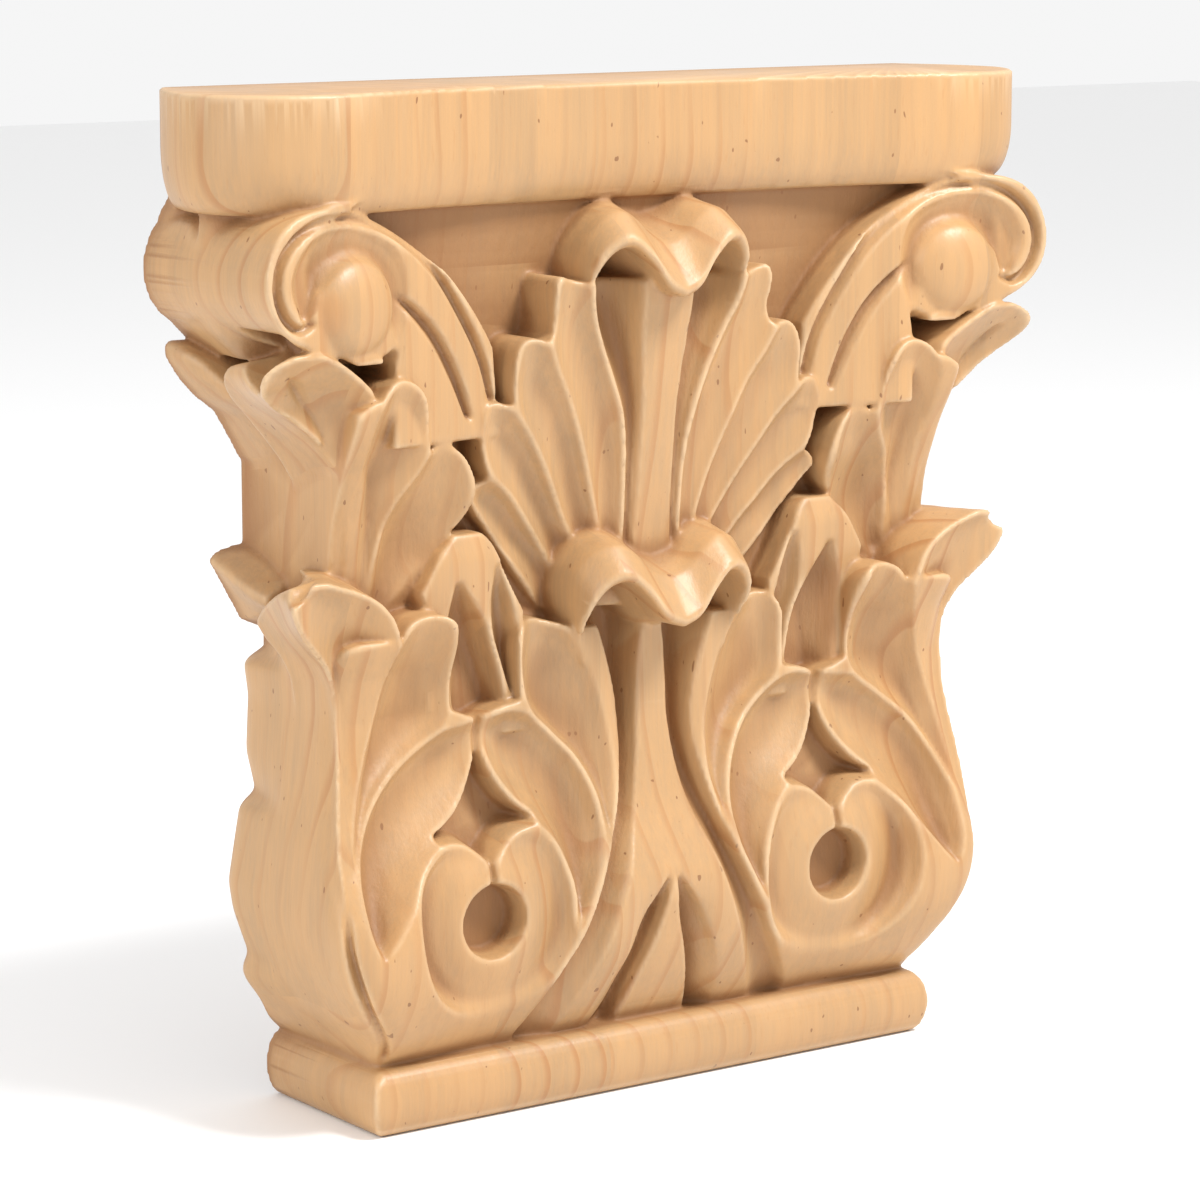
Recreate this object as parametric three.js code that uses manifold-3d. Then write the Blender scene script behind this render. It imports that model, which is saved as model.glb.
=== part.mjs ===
// Carved wooden Corinthian pilaster capital: one solid block of maple, flat at the back.
// Millimetres, +Z up. The origin is the middle of the underside: the front faces -Y and
// the flat back lies at y = BACK. Inside this file every form is first laid out with the
// back plane at y = 0, so a depth is simply -y, and the finished solid is moved by BACK.
import * as THREE from 'three';
import { mergeVertices } from 'three/addons/utils/BufferGeometryUtils.js';
import Module from 'manifold-3d';

const wasm = await Module();
wasm.setup();

// ---------- driving dimensions ----------
const HEIGHT = 267;        // underside to top of the abacus
const BACK = 25;           // from the origin back to the flat back plane
const BAR_HEIGHT = 17.5;   // half-round bar round the foot
const BAR_HALF = 87.2;     // half the width of the bar's flat underside
const BAR_DEPTH = 49.8;    // depth of the bar's flat underside
const BAR_BULGE = 4.6;     // how far the half-round stands out
const ABACUS_FOOT = 237.6; // underside of the abacus
const ABACUS_EDGE = 252;   // where its upright face turns into the ovolo below
const OVOLO = 4.6;         // how far the ovolo comes in
const EYE = { x: 56.5, z: 53.6, radius: 8.5, depth: 9 };
const SPLIT = 107;         // top of the scroll group between its two petals
const FAN_FOOT = 130;      // the upper fan starts behind the lower centre leaf
const ACROSS = 4;          // facets across a hollow
const ALONG = 6;           // steps along a leaf

// ---------- small tools ----------
const smooth = (low, high, v) => {
  const f = Math.min(Math.max((v - low) / (high - low), 0), 1);
  return f * f * (3 - 2 * f);
};

// Value at t (0..1) of a smooth curve through evenly spaced numbers.
function through(values, t) {
  if (typeof values === 'number') return values;
  const last = values.length - 1;
  const place = Math.min(Math.max(t, 0), 1) * last;
  const i = Math.min(Math.floor(place), last - 1);
  const f = place - i;
  const b = values[i];
  const c = values[i + 1];
  const a = i > 0 ? values[i - 1] : 2 * b - c;
  const d = i + 2 <= last ? values[i + 2] : 2 * c - b;
  return b + ((c - a) * f) / 2 + ((2 * a - 5 * b + 4 * c - d) * f * f) / 2
    + ((3 * b - a - 3 * c + d) * f ** 3) / 2;
}

// Straight-line reading of a profile given as [height, size] pairs.
function profile(pairs, z) {
  if (z <= pairs[0][0]) return pairs[0][1];
  for (let i = 1; i < pairs.length; i += 1) {
    const [z1, v1] = pairs[i];
    const [z0, v0] = pairs[i - 1];
    if (z <= z1) return v0 + ((v1 - v0) * (z - z0)) / (z1 - z0);
  }
  return pairs[pairs.length - 1][1];
}

// Closed body from a stack of rings with the same number of points.
function loft(rings) {
  const size = rings[0].length;
  const points = rings.flat();
  const faces = [];
  for (let k = 0; k + 1 < rings.length; k += 1) {
    for (let i = 0; i < size; i += 1) {
      const a = k * size + i;
      const b = k * size + ((i + 1) % size);
      faces.push(a, b, b + size, a, b + size, a + size);
    }
  }
  const end = (rings.length - 1) * size;
  for (let i = 1; i + 1 < size; i += 1) {
    faces.push(0, i + 1, i, end, end + i, end + i + 1);
  }
  const geometry = new THREE.BufferGeometry();
  geometry.setAttribute('position', new THREE.Float32BufferAttribute(points.flat(), 3));
  geometry.setIndex(faces);
  return geometry;
}

function signedVolume(position, index) {
  const a = new THREE.Vector3();
  const b = new THREE.Vector3();
  const c = new THREE.Vector3();
  let sum = 0;
  for (let i = 0; i < index.length; i += 3) {
    a.fromBufferAttribute(position, index[i]);
    b.fromBufferAttribute(position, index[i + 1]);
    c.fromBufferAttribute(position, index[i + 2]);
    sum += a.dot(b.cross(c));
  }
  return sum;
}

// Solid for cutting and joining; side -1 gives the form mirrored to the left half.
function solid(geometry, side = 1) {
  geometry.deleteAttribute('normal');
  geometry.deleteAttribute('uv');
  if (side < 0) geometry.scale(-1, 1, 1);
  const merged = mergeVertices(geometry, 1e-4);
  const index = Uint32Array.from(merged.index.array);
  if (signedVolume(merged.attributes.position, index) < 0) {
    for (let i = 0; i < index.length; i += 3) {
      const swap = index[i];
      index[i] = index[i + 1];
      index[i + 1] = swap;
    }
  }
  const vertProperties = Float32Array.from(merged.attributes.position.array);
  return new wasm.Manifold(new wasm.Mesh({ numProp: 3, vertProperties, triVerts: index }));
}

// Outline in the front plane, from [x, z] corners and [cx, cz, x, z] curves, pushed back
// from depth `front` to depth `rear`.
function slab(outline, rear, front, steps = 3) {
  const shape = new THREE.Shape();
  outline.forEach((p, i) => {
    if (i === 0) shape.moveTo(p[0], p[1]);
    else if (p.length === 2) shape.lineTo(p[0], p[1]);
    else shape.quadraticCurveTo(p[0], p[1], p[2], p[3]);
  });
  const geometry = new THREE.ExtrudeGeometry(shape, {
    depth: front - rear, bevelEnabled: false, curveSegments: steps,
  });
  geometry.rotateX(Math.PI / 2);
  geometry.translate(0, -rear, 0);
  return geometry;
}

// Frame along a path: point, direction along, direction across, outward direction.
function frameAt(path, facing, t) {
  const at = (s) => new THREE.Vector3(...[0, 1, 2].map((k) => through(path.map((p) => p[k]), s)));
  const point = at(t);
  const along = at(Math.min(t + 0.02, 1)).sub(at(Math.max(t - 0.02, 0))).normalize();
  const across = new THREE.Vector3().crossVectors(along, facing).normalize();
  const out = new THREE.Vector3().crossVectors(across, along).normalize();
  return { point, along, across, out };
}

// Gouge: a long hollow with a round bottom. Its edges reach the surface at +-half.
function gouge({ path, half, depth, facing }, across = ACROSS, along = ALONG) {
  const reach = 1.3;
  const rings = [];
  for (let k = 0; k <= along; k += 1) {
    const t = k / along;
    const f = frameAt(path, facing, t);
    const w = through(half, t);
    const d = through(depth, t);
    const ring = [];
    for (let i = 0; i <= across; i += 1) {
      const s = (2 * i / across - 1) * reach;
      ring.push(f.point.clone().addScaledVector(f.across, s * w)
        .addScaledVector(f.out, d * (s * s - 1)).toArray());
    }
    const lid = Math.max(d * (reach * reach - 1), 0) + 3;
    ring.push(f.point.clone().addScaledVector(f.across, reach * w * 1.05)
      .addScaledVector(f.out, lid).toArray());
    ring.push(f.point.clone().addScaledVector(f.across, -reach * w * 1.05)
      .addScaledVector(f.out, lid).toArray());
    rings.push(ring);
  }
  return loft(rings);
}

// Leaf: a tongue along a path, hollowed by `hollow` and folded back by `fold` at its
// edges, `deep` thick, its tip rounded over the last `round` of its length.
function leaf({ path, half, hollow, fold, deep, round, facing }) {
  const rings = [];
  for (let k = 0; k <= ALONG; k += 1) {
    const t = 1 - (1 - k / ALONG) ** 1.35;
    const f = frameAt(path, facing, t);
    const end = Math.max((t - (1 - round)) / round, 0);
    const w = through(half, t) * Math.sqrt(Math.max(1 - end * end, 0.02));
    const ring = [];
    for (let i = 0; i <= ACROSS; i += 1) {
      const s = 2 * i / ACROSS - 1;
      const drop = hollow * (1 - s * s) + through(fold, t) * Math.abs(s) ** 1.5;
      ring.push(f.point.clone().addScaledVector(f.across, s * w)
        .addScaledVector(f.out, -drop).toArray());
    }
    for (const s of [0.9, -0.9]) {
      ring.push(f.point.clone().addScaledVector(f.across, s * w)
        .addScaledVector(facing, -deep).toArray());
    }
    rings.push(ring);
  }
  return loft(rings);
}

// ---------- envelopes: how far the crests of the carving stand out ----------
const SCROLL_CREST = [
  [16, 45], [20, 48.5], [25, 51], [34, 54.5], [46, 57], [58, 57.5],
  [72, 55.5], [86, 52.5], [100, 50], [115, 49.5], [136, 50],
];
const FAN_CREST = [[128, 43], [146, 45], [160, 49], [175, 51.5], [190, 52.5], [220, 54]];
const LOBE_CREST = [[134, 40], [143, 42], [152, 44.7], [160, 48.7], [168, 51.5], [180, 54.5], [197, 60]];
const SIDE_CREST = [
  [16, 86], [20, 89], [24, 91], [30, 96], [36, 99.5], [45, 103], [57, 105],
  [75, 103.5], [90, 101], [110, 99.4], [122, 100], [136, 104],
];
const SIDE_BACK = [
  [16, 86], [22, 92.8], [34, 101.7], [37, 102.6], [41, 99.8], [53, 104.5], [61, 106],
  [81, 102], [84, 96.3], [95, 99.8], [110, 99], [119, 100.5], [122, 92], [136, 91],
];
const scrollDepth = (x, z) => profile(SCROLL_CREST, z)
  + 6 * smooth(55, 98, Math.abs(x)) * smooth(16, 34, z)
  - 5 * smooth(80, 110, z) * smooth(85, 99, Math.abs(x))
  + 2 * smooth(30, 0, Math.abs(x)) * smooth(34, 52, z) * smooth(84, 62, z);
const fanDepth = (x, z) => profile(FAN_CREST, z);
const lobeDepth = (x, z) => profile(LOBE_CREST, z);
const voluteDepth = (x) => 48 + (x - 50) * 0.175;

const FRONT = new THREE.Vector3(0, -1, 0);
const OUTWARD = new THREE.Vector3(1, 0, 0);
const CORNER = new THREE.Vector3(0.7, -0.7, 0).normalize();
const NEARLY_FRONT = new THREE.Vector3(0.25, -0.97, 0).normalize();

// A gouge on a front surface: only x, z, half width and depth are given.
const onFront = (depthOf, cut) => ({
  ...cut, facing: FRONT, path: cut.path.map(([x, z]) => [x, -depthOf(x, z), z]),
});

// ---------- bar, bell and abacus ----------
function bar() {
  const rings = [];
  const steps = 6;
  for (let k = 0; k <= steps; k += 1) {
    const angle = (k / steps) * Math.PI;
    const z = (BAR_HEIGHT / 2) * (1 - Math.cos(angle));
    const out = BAR_BULGE * Math.sin(angle);
    const x = BAR_HALF + out;
    const y = -(BAR_DEPTH + out);
    rings.push([[-x, 0, z], [x, 0, z], [x, y, z], [-x, y, z]]);
  }
  return loft(rings);
}

// Plain bell behind the leaves: [height, half width, depth].
const BELL = [
  [10, 80, 40], [20, 84, 42], [60, 94, 44], [95, 92, 40], [125, 91, 37], [150, 91, 36],
  [180, 92, 36], [205, 95, 37], [225, 101, 39], [240, 108, 43],
];
function bell() {
  const cut = 10;
  return loft(BELL.map(([z, x, y]) => [
    [-x, 0, z], [x, 0, z], [x, cut - y, z], [x - cut, -y, z], [cut - x, -y, z], [-x, cut - y, z],
  ]));
}

// Half of the abacus in plan, from the middle of the front round the horn to the back.
const ABACUS_PLAN = [
  [0, -47.5], [40, -48.2], [68, -50.6], [86, -54.6], [101, -57],
  [113, -55.2], [122, -48.5], [128, -38], [129, -27], [125.5, -13], [119, 0],
];
function abacus() {
  const levels = [[ABACUS_FOOT - 0.5, 1], [ABACUS_FOOT + 4, 0.55], [ABACUS_FOOT + 9, 0.2],
    [ABACUS_EDGE, 0], [HEIGHT, 0]];
  const plan = [];
  const steps = 12;
  for (let i = 0; i <= steps; i += 1) {
    plan.push([0, 1].map((k) => through(ABACUS_PLAN.map((p) => p[k]), i / steps)));
  }
  const whole = [...plan.slice(1).reverse().map(([x, y]) => [-x, y]), ...plan];
  return loft(levels.map(([z, part]) => whole.map(([x, y]) => [
    x * (1 - (part * OVOLO) / 129.5), y * (1 - (part * OVOLO) / 52), z,
  ])));
}

// ---------- lower group: scrolls, petals and the split centre leaf ----------
const SCROLL_OUTLINE = [
  [-1, 16], [115, 16], [115, 130], [84, 130], [82.5, 129.5], [80, 135, 72, 135],
  [64.5, 135, 64.5, 124], [64.5, SPLIT + 2], [60, SPLIT, 55.3, SPLIT - 1.5],
  [50, SPLIT + 1.5, 43, SPLIT + 2], [43.2, 122], [43.2, 130, 36, 129.5], [25.5, 126.5],
  [-1, 126.5],
];

function scrollEnvelope() {
  const heights = [16, 20, 26, 34, 46, 58, 72, 86, 100, 115, 136];
  return loft(heights.map((z) => {
    const x = profile(SIDE_CREST, z);
    const back = profile(SIDE_BACK, z);
    const r = 2 + 5 * smooth(17, 30, z);
    const y = scrollDepth(x, z);
    const front = [x - r, 84, 70, 56, 36, 18, -1].map((at) => [at, -scrollDepth(at, z), z]);
    return [[-1, 0, z], [back, 0, z], [x, -26, z], [x, r - y, z],
      [x - 0.3 * r, 0.3 * r - y, z], ...front];
  }));
}

const SCROLL_CUTS = [
  { // flute beside the centre stem, opening under the curled tip and at the foot
    path: [[12.5, 128], [12.5, 112], [10.8, 98], [12.3, 82], [16, 66], [21.5, 50], [30, 35], [43, 17]],
    half: [9, 5.5, 3, 2.9, 3.1, 3.4, 4.2, 5], depth: [13, 11, 9, 8, 7, 6.5, 6, 4],
  },
  { // long lobe that leans against the centre leaf
    path: [[17.5, 72], [18.2, 80], [19.8, 90], [23.5, 100], [29, 110], [33.5, 120], [36, 132]],
    half: [0.8, 3, 5.8, 9, 11.5, 10.3, 9], depth: 4,
  },
  { // inner petal of the scroll
    path: [[51.5, 101], [43.5, 96.5], [35, 88], [29, 77], [25.3, 65], [26, 54], [31, 43]],
    half: [8, 10.3, 10.6, 9.3, 6.2, 3.4, 1.2], depth: [3, 5, 5, 5, 4, 2.5, 0.6],
  },
  { // outer petal of the scroll
    path: [[59.5, 101], [68, 96.5], [76, 88], [83, 78], [88.5, 68], [91.5, 60], [92, 53]],
    half: [8, 10.3, 10.8, 9.5, 8, 5, 1.2], depth: [3, 5, 5, 5, 4.5, 3, 0.6],
  },
  { // lobe under the corner leaf
    path: [[98.5, 74], [95, 85], [89, 96.5], [81.5, 106.5], [76, 117], [73.5, 134]],
    half: [1, 3, 5.8, 9.8, 11, 9.5], depth: [1, 2.5, 4, 4.5, 4.5, 4.5],
  },
  { // slit on each side of the foot of the centre leaf
    path: [[0.6, 59], [6, 47], [11.5, 34], [17.5, 17]],
    half: [0.5, 2, 2.9, 3.4], depth: [2, 6, 8, 8],
  },
];
const RING_HOLLOW = { // hollow that runs round the eye, left open at its top
  path: [[51.5, 72], [43, 69], [38.2, 61], [37.5, 51.5], [42, 42.5], [52, 36.8], [63, 36.6],
    [72.5, 41.5], [77, 51], [75.5, 61.5], [70, 69.5], [61.5, 72.5]],
  half: [3, 7, 8.4, 8.8, 8, 7, 7.4, 9, 9.6, 8.6, 7, 3], depth: [2, 4, 4.5, 4.5, 4.5, 4.5, 4.5, 4.5, 4.5, 4.5, 4, 2],
};
const STAR = [[55.3, 96], [52, 84, 43.5, 78.5], [53, 78, 56.7, 70], [60, 77, 70, 76.8], [59, 82, 55.3, 96]];

function eye() {
  const hole = new THREE.CylinderGeometry(EYE.radius, EYE.radius, 30, 12);
  const front = scrollDepth(EYE.x, EYE.z);
  hole.translate(EYE.x, -(front - EYE.depth + 15), EYE.z);
  return hole;
}

function scrollGroup(side) {
  let body = solid(scrollEnvelope(), side).intersect(solid(slab(SCROLL_OUTLINE, 0, 80), side));
  for (const cut of SCROLL_CUTS) {
    body = body.subtract(solid(gouge(onFront(scrollDepth, cut)), side));
  }
  body = body.subtract(solid(gouge(onFront(scrollDepth, RING_HOLLOW), ACROSS, 10), side));
  body = body.subtract(solid(slab(STAR, scrollDepth(56, 80) - 10, 80, 2), side));
  return body.subtract(solid(eye(), side));
}

// ---------- upper group: fan, corner lobes ----------
const FAN_OUTLINE = [
  [-1, FAN_FOOT], [36, FAN_FOOT], [44, 142], [50, 150.5], [54.5, 157], [58, 166.5, 53, 166.8],
  [51.6, 166.4], [54.5, 172], [58, 187.5, 49.5, 187.3], [45, 184.8], [47.5, 203.5, 39.5, 203.2],
  [35.6, 201.6], [36, 219, 29.5, 218.8], [23, 217], [-1, 217],
];
const FAN_CUTS = [
  { // flute beside the stem, opening under the curled tip
    path: [[8, 146], [8.2, 162], [9.6, 177], [12.2, 191], [15, 204], [16, 221]],
    half: [0.8, 1.3, 2.6, 4.6, 6.6, 8.4], depth: [4, 6, 7, 8.5, 10, 12],
  },
  {
    path: [[10, 147], [13.3, 164], [18, 178], [22.5, 190], [26.5, 203], [29.5, 221]],
    half: [1.5, 4, 6, 7.3, 8, 7.4], depth: 3.2,
  },
  {
    path: [[13, 145], [21, 160], [28.5, 172], [35, 183], [39.5, 193], [41.5, 206]],
    half: [2, 4.3, 6, 7, 6.5, 5.6], depth: 3.2,
  },
  {
    path: [[19, 143], [29, 155], [38, 164], [46, 173], [51, 181], [53, 190]],
    half: [2.5, 4.6, 5.9, 6.3, 6, 5.4], depth: 3.2,
  },
  {
    path: [[27, 138], [36, 147], [45, 155], [52, 162], [57, 168]],
    half: [3, 4.6, 5.2, 5, 4], depth: 2.6,
  },
];
const LOBE_OUTLINE = [
  [70, 134], [97, 134], [97, 188], [90, 190], [86, 196.4, 82, 196.2], [74, 194, 73.2, 185],
  [72, 178], [68, 181, 65, 180], [58, 176, 57, 164], [57, 152, 64, 143],
];
const LOBE_CUTS = [
  {
    path: [[86, 142], [86.3, 154], [85.5, 167], [83.8, 181], [82, 199]],
    half: [3, 5, 7.2, 8, 7.4], depth: 3.2,
  },
  {
    path: [[75, 136], [73, 144], [70.5, 152], [68, 161], [66.5, 170], [66, 183]],
    half: [4, 7, 9.6, 9.8, 9, 7.4], depth: 3.2,
  },
];
const SHADE_OUTLINE = [ // small lobes in the shade between the two groups
  [44, 104], [68, 104], [68, 128], [84, 132], [84, 143], [66, 151], [59.5, 154], [55, 150],
  [52, 142], [46, 134],
];
const shadeDepth = (x, z) => 43 + 2 * smooth(120, 150, z);

function relief(outline, depthOf, columns, heights, cuts, side) {
  const grid = heights.map((z) => [
    [columns[0], 0, z], ...columns.map((x) => [x, -depthOf(x, z), z]),
    [columns[columns.length - 1], 0, z],
  ]);
  let body = solid(loft(grid), side).intersect(solid(slab(outline, 0, 80), side));
  for (const cut of cuts) {
    body = body.subtract(solid(gouge(onFront(depthOf, cut)), side));
  }
  return body;
}

// ---------- rolled tips of the two centre leaves ----------
// The rim hangs forward in an M; the roll runs from it up and back to two humps.
function curl({ rim, crown, under }) {
  const rings = [];
  const steps = 14;
  for (let k = 0; k <= steps; k += 1) {
    const u = 2 * k / steps - 1;
    const at = (list) => [0, 1, 2].map((i) => through(list.map((p) => p[i]), Math.abs(u))
      * (i === 0 ? Math.sign(u) || 0 : 1));
    const [rx, ry, rz] = at(rim);
    const [cx, cy, cz] = at(crown);
    rings.push([
      [cx, -30, cz - 1], [cx, cy, cz], [(rx + cx) / 2, (ry + cy) / 2 - 2.5, (rz + cz) / 2 + 1.6],
      [rx, ry + 1.2, rz + 0.5], [rx, ry, rz - 1.2], [rx * 0.97, ry + 1.6, rz - 3],
      [rx * 0.9, (ry - under) / 2, rz - 3.2], [rx * 0.85, -under, rz - 7], [cx * 0.9, -30, rz - 12],
    ]);
  }
  return loft(rings);
}
const LOWER_CURL = {
  rim: [[0, -64, 128.6], [5.5, -64, 131], [11, -63.5, 137.5], [16.5, -62.4, 141.8],
    [22, -60.5, 140.5], [26, -58, 134.5], [26.2, -55, 126], [23.5, -52, 118]],
  crown: [[0, -44, 144.5], [6, -44, 146], [11, -44, 149.5], [16, -43.8, 151],
    [22, -42, 149.5], [26.5, -38, 145], [29, -35, 138], [28, -34, 128]],
  under: 40,
};
const UPPER_CURL = {
  rim: [[0, -64, 215], [5, -64, 217.5], [10, -63.6, 224], [15.5, -62.8, 228.5],
    [20.5, -61, 227.5], [24.3, -58.5, 222], [24.8, -56, 215], [23, -54, 208]],
  crown: [[0, -41, 232.5], [5, -41, 234], [9, -41.5, 236], [12.5, -41.8, 237],
    [18, -41, 235.5], [23, -39.5, 230], [26, -38.4, 223], [26, -38, 214]],
  under: 42,
};

// ---------- volutes ----------
const VOLUTE_OUTLINE = [
  [48, 178], [50, 199], [56, 210, 66, 219.5], [84, 237, 103, 240], [119, 241, 125, 227],
  [128, 212, 115, 205.5], [108, 202, 94, 202], [88, 200], [84, 178],
];
const VOLUTE_GROOVES = [
  {
    path: [[51.5, 190], [57, 202], [66, 213.5], [78, 224.5], [91, 232], [103.5, 234.8], [114, 231.5],
      [120, 223.5], [118.5, 214], [111, 209.5]],
    half: [1.2, 1.7, 1.8, 1.8, 1.8, 1.8, 1.7, 1.6, 1.5, 1], depth: 3.2,
  },
  {
    path: [[83.5, 217], [76.5, 212.3], [69.5, 204.8], [63, 194.5], [58.5, 185]],
    half: [0.6, 1.7, 2.2, 2, 1.2], depth: 3.2,
  },
];
const RIBBON_HOLLOW = { // hollow that follows the ball of the volute
  path: [[86, 208], [84.5, 218], [91, 227.5], [101, 229.5], [110, 225], [113.5, 217]],
  half: [1.5, 3.5, 4.5, 5, 4.5, 2], depth: [1, 3, 3.5, 3.5, 3, 1],
};
const BALL = { x: 99, z: 212.5, radius: 12.5, depth: 50.5 };

// Waist between the front volute and the one on the side, hollow in plan:
// [height, how far the front volute is in, how far the side volute is in].
const WAIST = [
  [203, -22, -8], [207, -12, -5.5], [212, -6, -3], [218, -1, 0], [224, 0, 0],
  [231, -3, 0], [236, -8, -2.5], [239.5, -20, -6], [241, -26, -14],
];
function voluteBlock() {
  return loft(WAIST.map(([z, front, flank]) => [
    [60, 0, z], [122 + flank, 0, z], [126.5 + flank, -38, z], [126 + flank, -42.5, z],
    [121.5 + (front + flank) / 2, -50, z], [121.5 + front, -55, z], [124 + front, -59.5, z],
    [118 + front, -59, z], [90, -52, z], [60, -40, z],
  ]));
}
const SIDE_GROOVE = {
  path: [[127, -6, 237], [127.5, -20, 236.5], [127.5, -32, 232], [127.5, -38.5, 223],
    [127, -36.5, 214.5], [124.5, -28, 210]],
  half: [1.4, 1.8, 1.8, 1.8, 1.6, 1], depth: 3.4, facing: OUTWARD,
};
const SIDE_BALL = { x: 118, y: -21, z: 219 };

function volute(side) {
  const grid = [170, 245].map((z) => [[46, 0, z], ...[46, 70, 95, 128].map((x) => [x, -voluteDepth(x), z]),
    [128, 0, z]]);
  let body = solid(loft(grid), side).intersect(solid(slab(VOLUTE_OUTLINE, 0, 80, 4), side));
  body = body.add(solid(voluteBlock(), side));
  for (const cut of [...VOLUTE_GROOVES, RIBBON_HOLLOW]) {
    body = body.subtract(solid(gouge(onFront(voluteDepth, cut), 2, 8), side));
  }
  const ball = new THREE.SphereGeometry(BALL.radius, 10, 6);
  ball.scale(1, 1.05, 1);
  const sideBall = ball.clone();
  ball.translate(BALL.x, -BALL.depth, BALL.z);
  sideBall.translate(SIDE_BALL.x, SIDE_BALL.y, SIDE_BALL.z);
  body = body.subtract(solid(gouge(SIDE_GROOVE, 2, 7), side));
  return body.add(solid(ball, side)).add(solid(sideBall, side));
}

// ---------- leaves that turn the corner, and the lobes of the sides ----------
const CORNER_LEAVES = [
  { // lower corner leaf, front lobe
    path: [[94, -49, 90], [93.5, -50, 106], [93, -53, 119], [96, -56.5, 131], [102.5, -58.5, 146.7]],
    half: [4, 7, 10, 14, 15.5], hollow: 1.2, fold: [0, 0, 0, 1, 2], deep: 32, round: 0.4,
    facing: FRONT,
  },
  { // lower corner leaf, side lobe
    path: [[102, -42, 84], [100.5, -40, 100], [101.5, -38.5, 113], [105, -36.5, 124], [110, -38, 134],
      [115.5, -45, 146]],
    half: [8, 10, 11.5, 15, 17, 11], hollow: 1, fold: 1, deep: 34, round: 0.36, facing: OUTWARD,
  },
  { // upper corner leaf, front tongue
    path: [[94, -40, 144], [95, -42, 158], [97, -46, 170], [101, -51.5, 183], [106.5, -58, 194],
      [109, -62.5, 204.5]],
    half: [5, 7, 9, 13, 16.5, 15], hollow: 0, fold: [1, 2, 3, 4, 5, 4], deep: 32, round: 0.3,
    facing: NEARLY_FRONT,
  },
  { // upper corner leaf, side lobe
    path: [[94, -29, 146], [95.5, -30, 160], [99, -32, 173], [106, -35, 185], [118.5, -35, 200]],
    half: [6, 9, 11, 13, 10], hollow: 0.5, fold: 1, deep: 30, round: 0.36, facing: OUTWARD,
  },
  { // upper side lobe, cut off by the back
    path: [[93, -8, 142], [94, -8, 158], [98, -7, 171], [104.5, -5, 183], [112, -3, 193],
      [119.5, 0, 202.5]],
    half: [10, 12, 13, 14, 13, 10], hollow: 1, fold: 1, deep: 28, round: 0.3, facing: OUTWARD,
  },
];
const CORNER_SLIT = {
  path: [[105, -57, 80], [104.5, -59.5, 66], [103, -60.5, 52], [98.5, -60.5, 38], [92, -57, 27],
    [87, -50, 19]],
  half: 1.5, depth: [1, 3, 4, 4, 4, 3], facing: CORNER,
};

// Rolled tip of the side's centre leaf, cut off by the back:
// [depth, crown height, rim out, rim height, underside out, underside height].
const SIDE_ROLL = [
  [0, 149.5, 107, 145.6, 98, 129], [8, 148.8, 106.5, 143, 98.5, 130.5],
  [16, 146.5, 105.5, 140, 100, 133], [23, 143, 103.5, 137.5, 101, 135],
];
function sideRoll() {
  return loft(SIDE_ROLL.map(([y, crown, out, rim, under, low]) => [
    [80, -y, crown - 2], [95, -y, crown], [out - 3, -y, rim + 2.4], [out, -y, rim],
    [out - 1.5, -y, rim - 3], [under, -y, low], [80, -y, low - 8],
  ]));
}

// ---------- the whole capital ----------
function capital() {
  let body = solid(bar()).add(solid(bell())).add(solid(abacus()));
  for (const side of [1, -1]) {
    body = body.add(scrollGroup(side));
    body = body.add(relief(SHADE_OUTLINE, shadeDepth, [40, 90], [100, 120, 150, 156], [], side));
    body = body.add(relief(FAN_OUTLINE, fanDepth, [-2, 62], [128, 146, 160, 175, 190, 222], FAN_CUTS, side));
    body = body.add(relief(LOBE_OUTLINE, lobeDepth, [50, 99], [134, 143, 152, 160, 168, 180, 198],
      LOBE_CUTS, side));
    body = body.add(volute(side));
    for (const shape of CORNER_LEAVES) body = body.add(solid(leaf(shape), side));
    body = body.add(solid(sideRoll(), side));
    body = body.subtract(solid(gouge(CORNER_SLIT, 2, 8), side));
  }
  body = body.add(solid(curl(LOWER_CURL))).add(solid(curl(UPPER_CURL)));
  const block = new THREE.BoxGeometry(400, 200, HEIGHT);
  block.translate(0, -100, HEIGHT / 2);
  return body.intersect(solid(block));
}

const result = capital().getMesh();
const positions = [];
for (let i = 0; i < result.vertProperties.length; i += result.numProp) {
  positions.push(result.vertProperties[i], result.vertProperties[i + 1] + BACK, result.vertProperties[i + 2]);
}
const geometry = new THREE.BufferGeometry();
geometry.setAttribute('position', new THREE.Float32BufferAttribute(positions, 3));
geometry.setIndex(Array.from(result.triVerts));
geometry.computeVertexNormals();

const maple = new THREE.MeshStandardMaterial({ color: 0xd9b380, roughness: 0.55, metalness: 0 });
const mesh = new THREE.Mesh(geometry, maple);
mesh.name = 'capital';

const group = new THREE.Group();
group.add(mesh);
export default group;
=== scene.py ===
"""Visual model of the carved maple pilaster capital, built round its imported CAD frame.

The carving is made as a solid field on a fine grid: crest surfaces, gouge cuts and
leaves are joined and cut there, one half is mirrored, and the surface is meshed.
Inside the script lengths are millimetres, with depth measured forward from the back.
"""
import math

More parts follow.
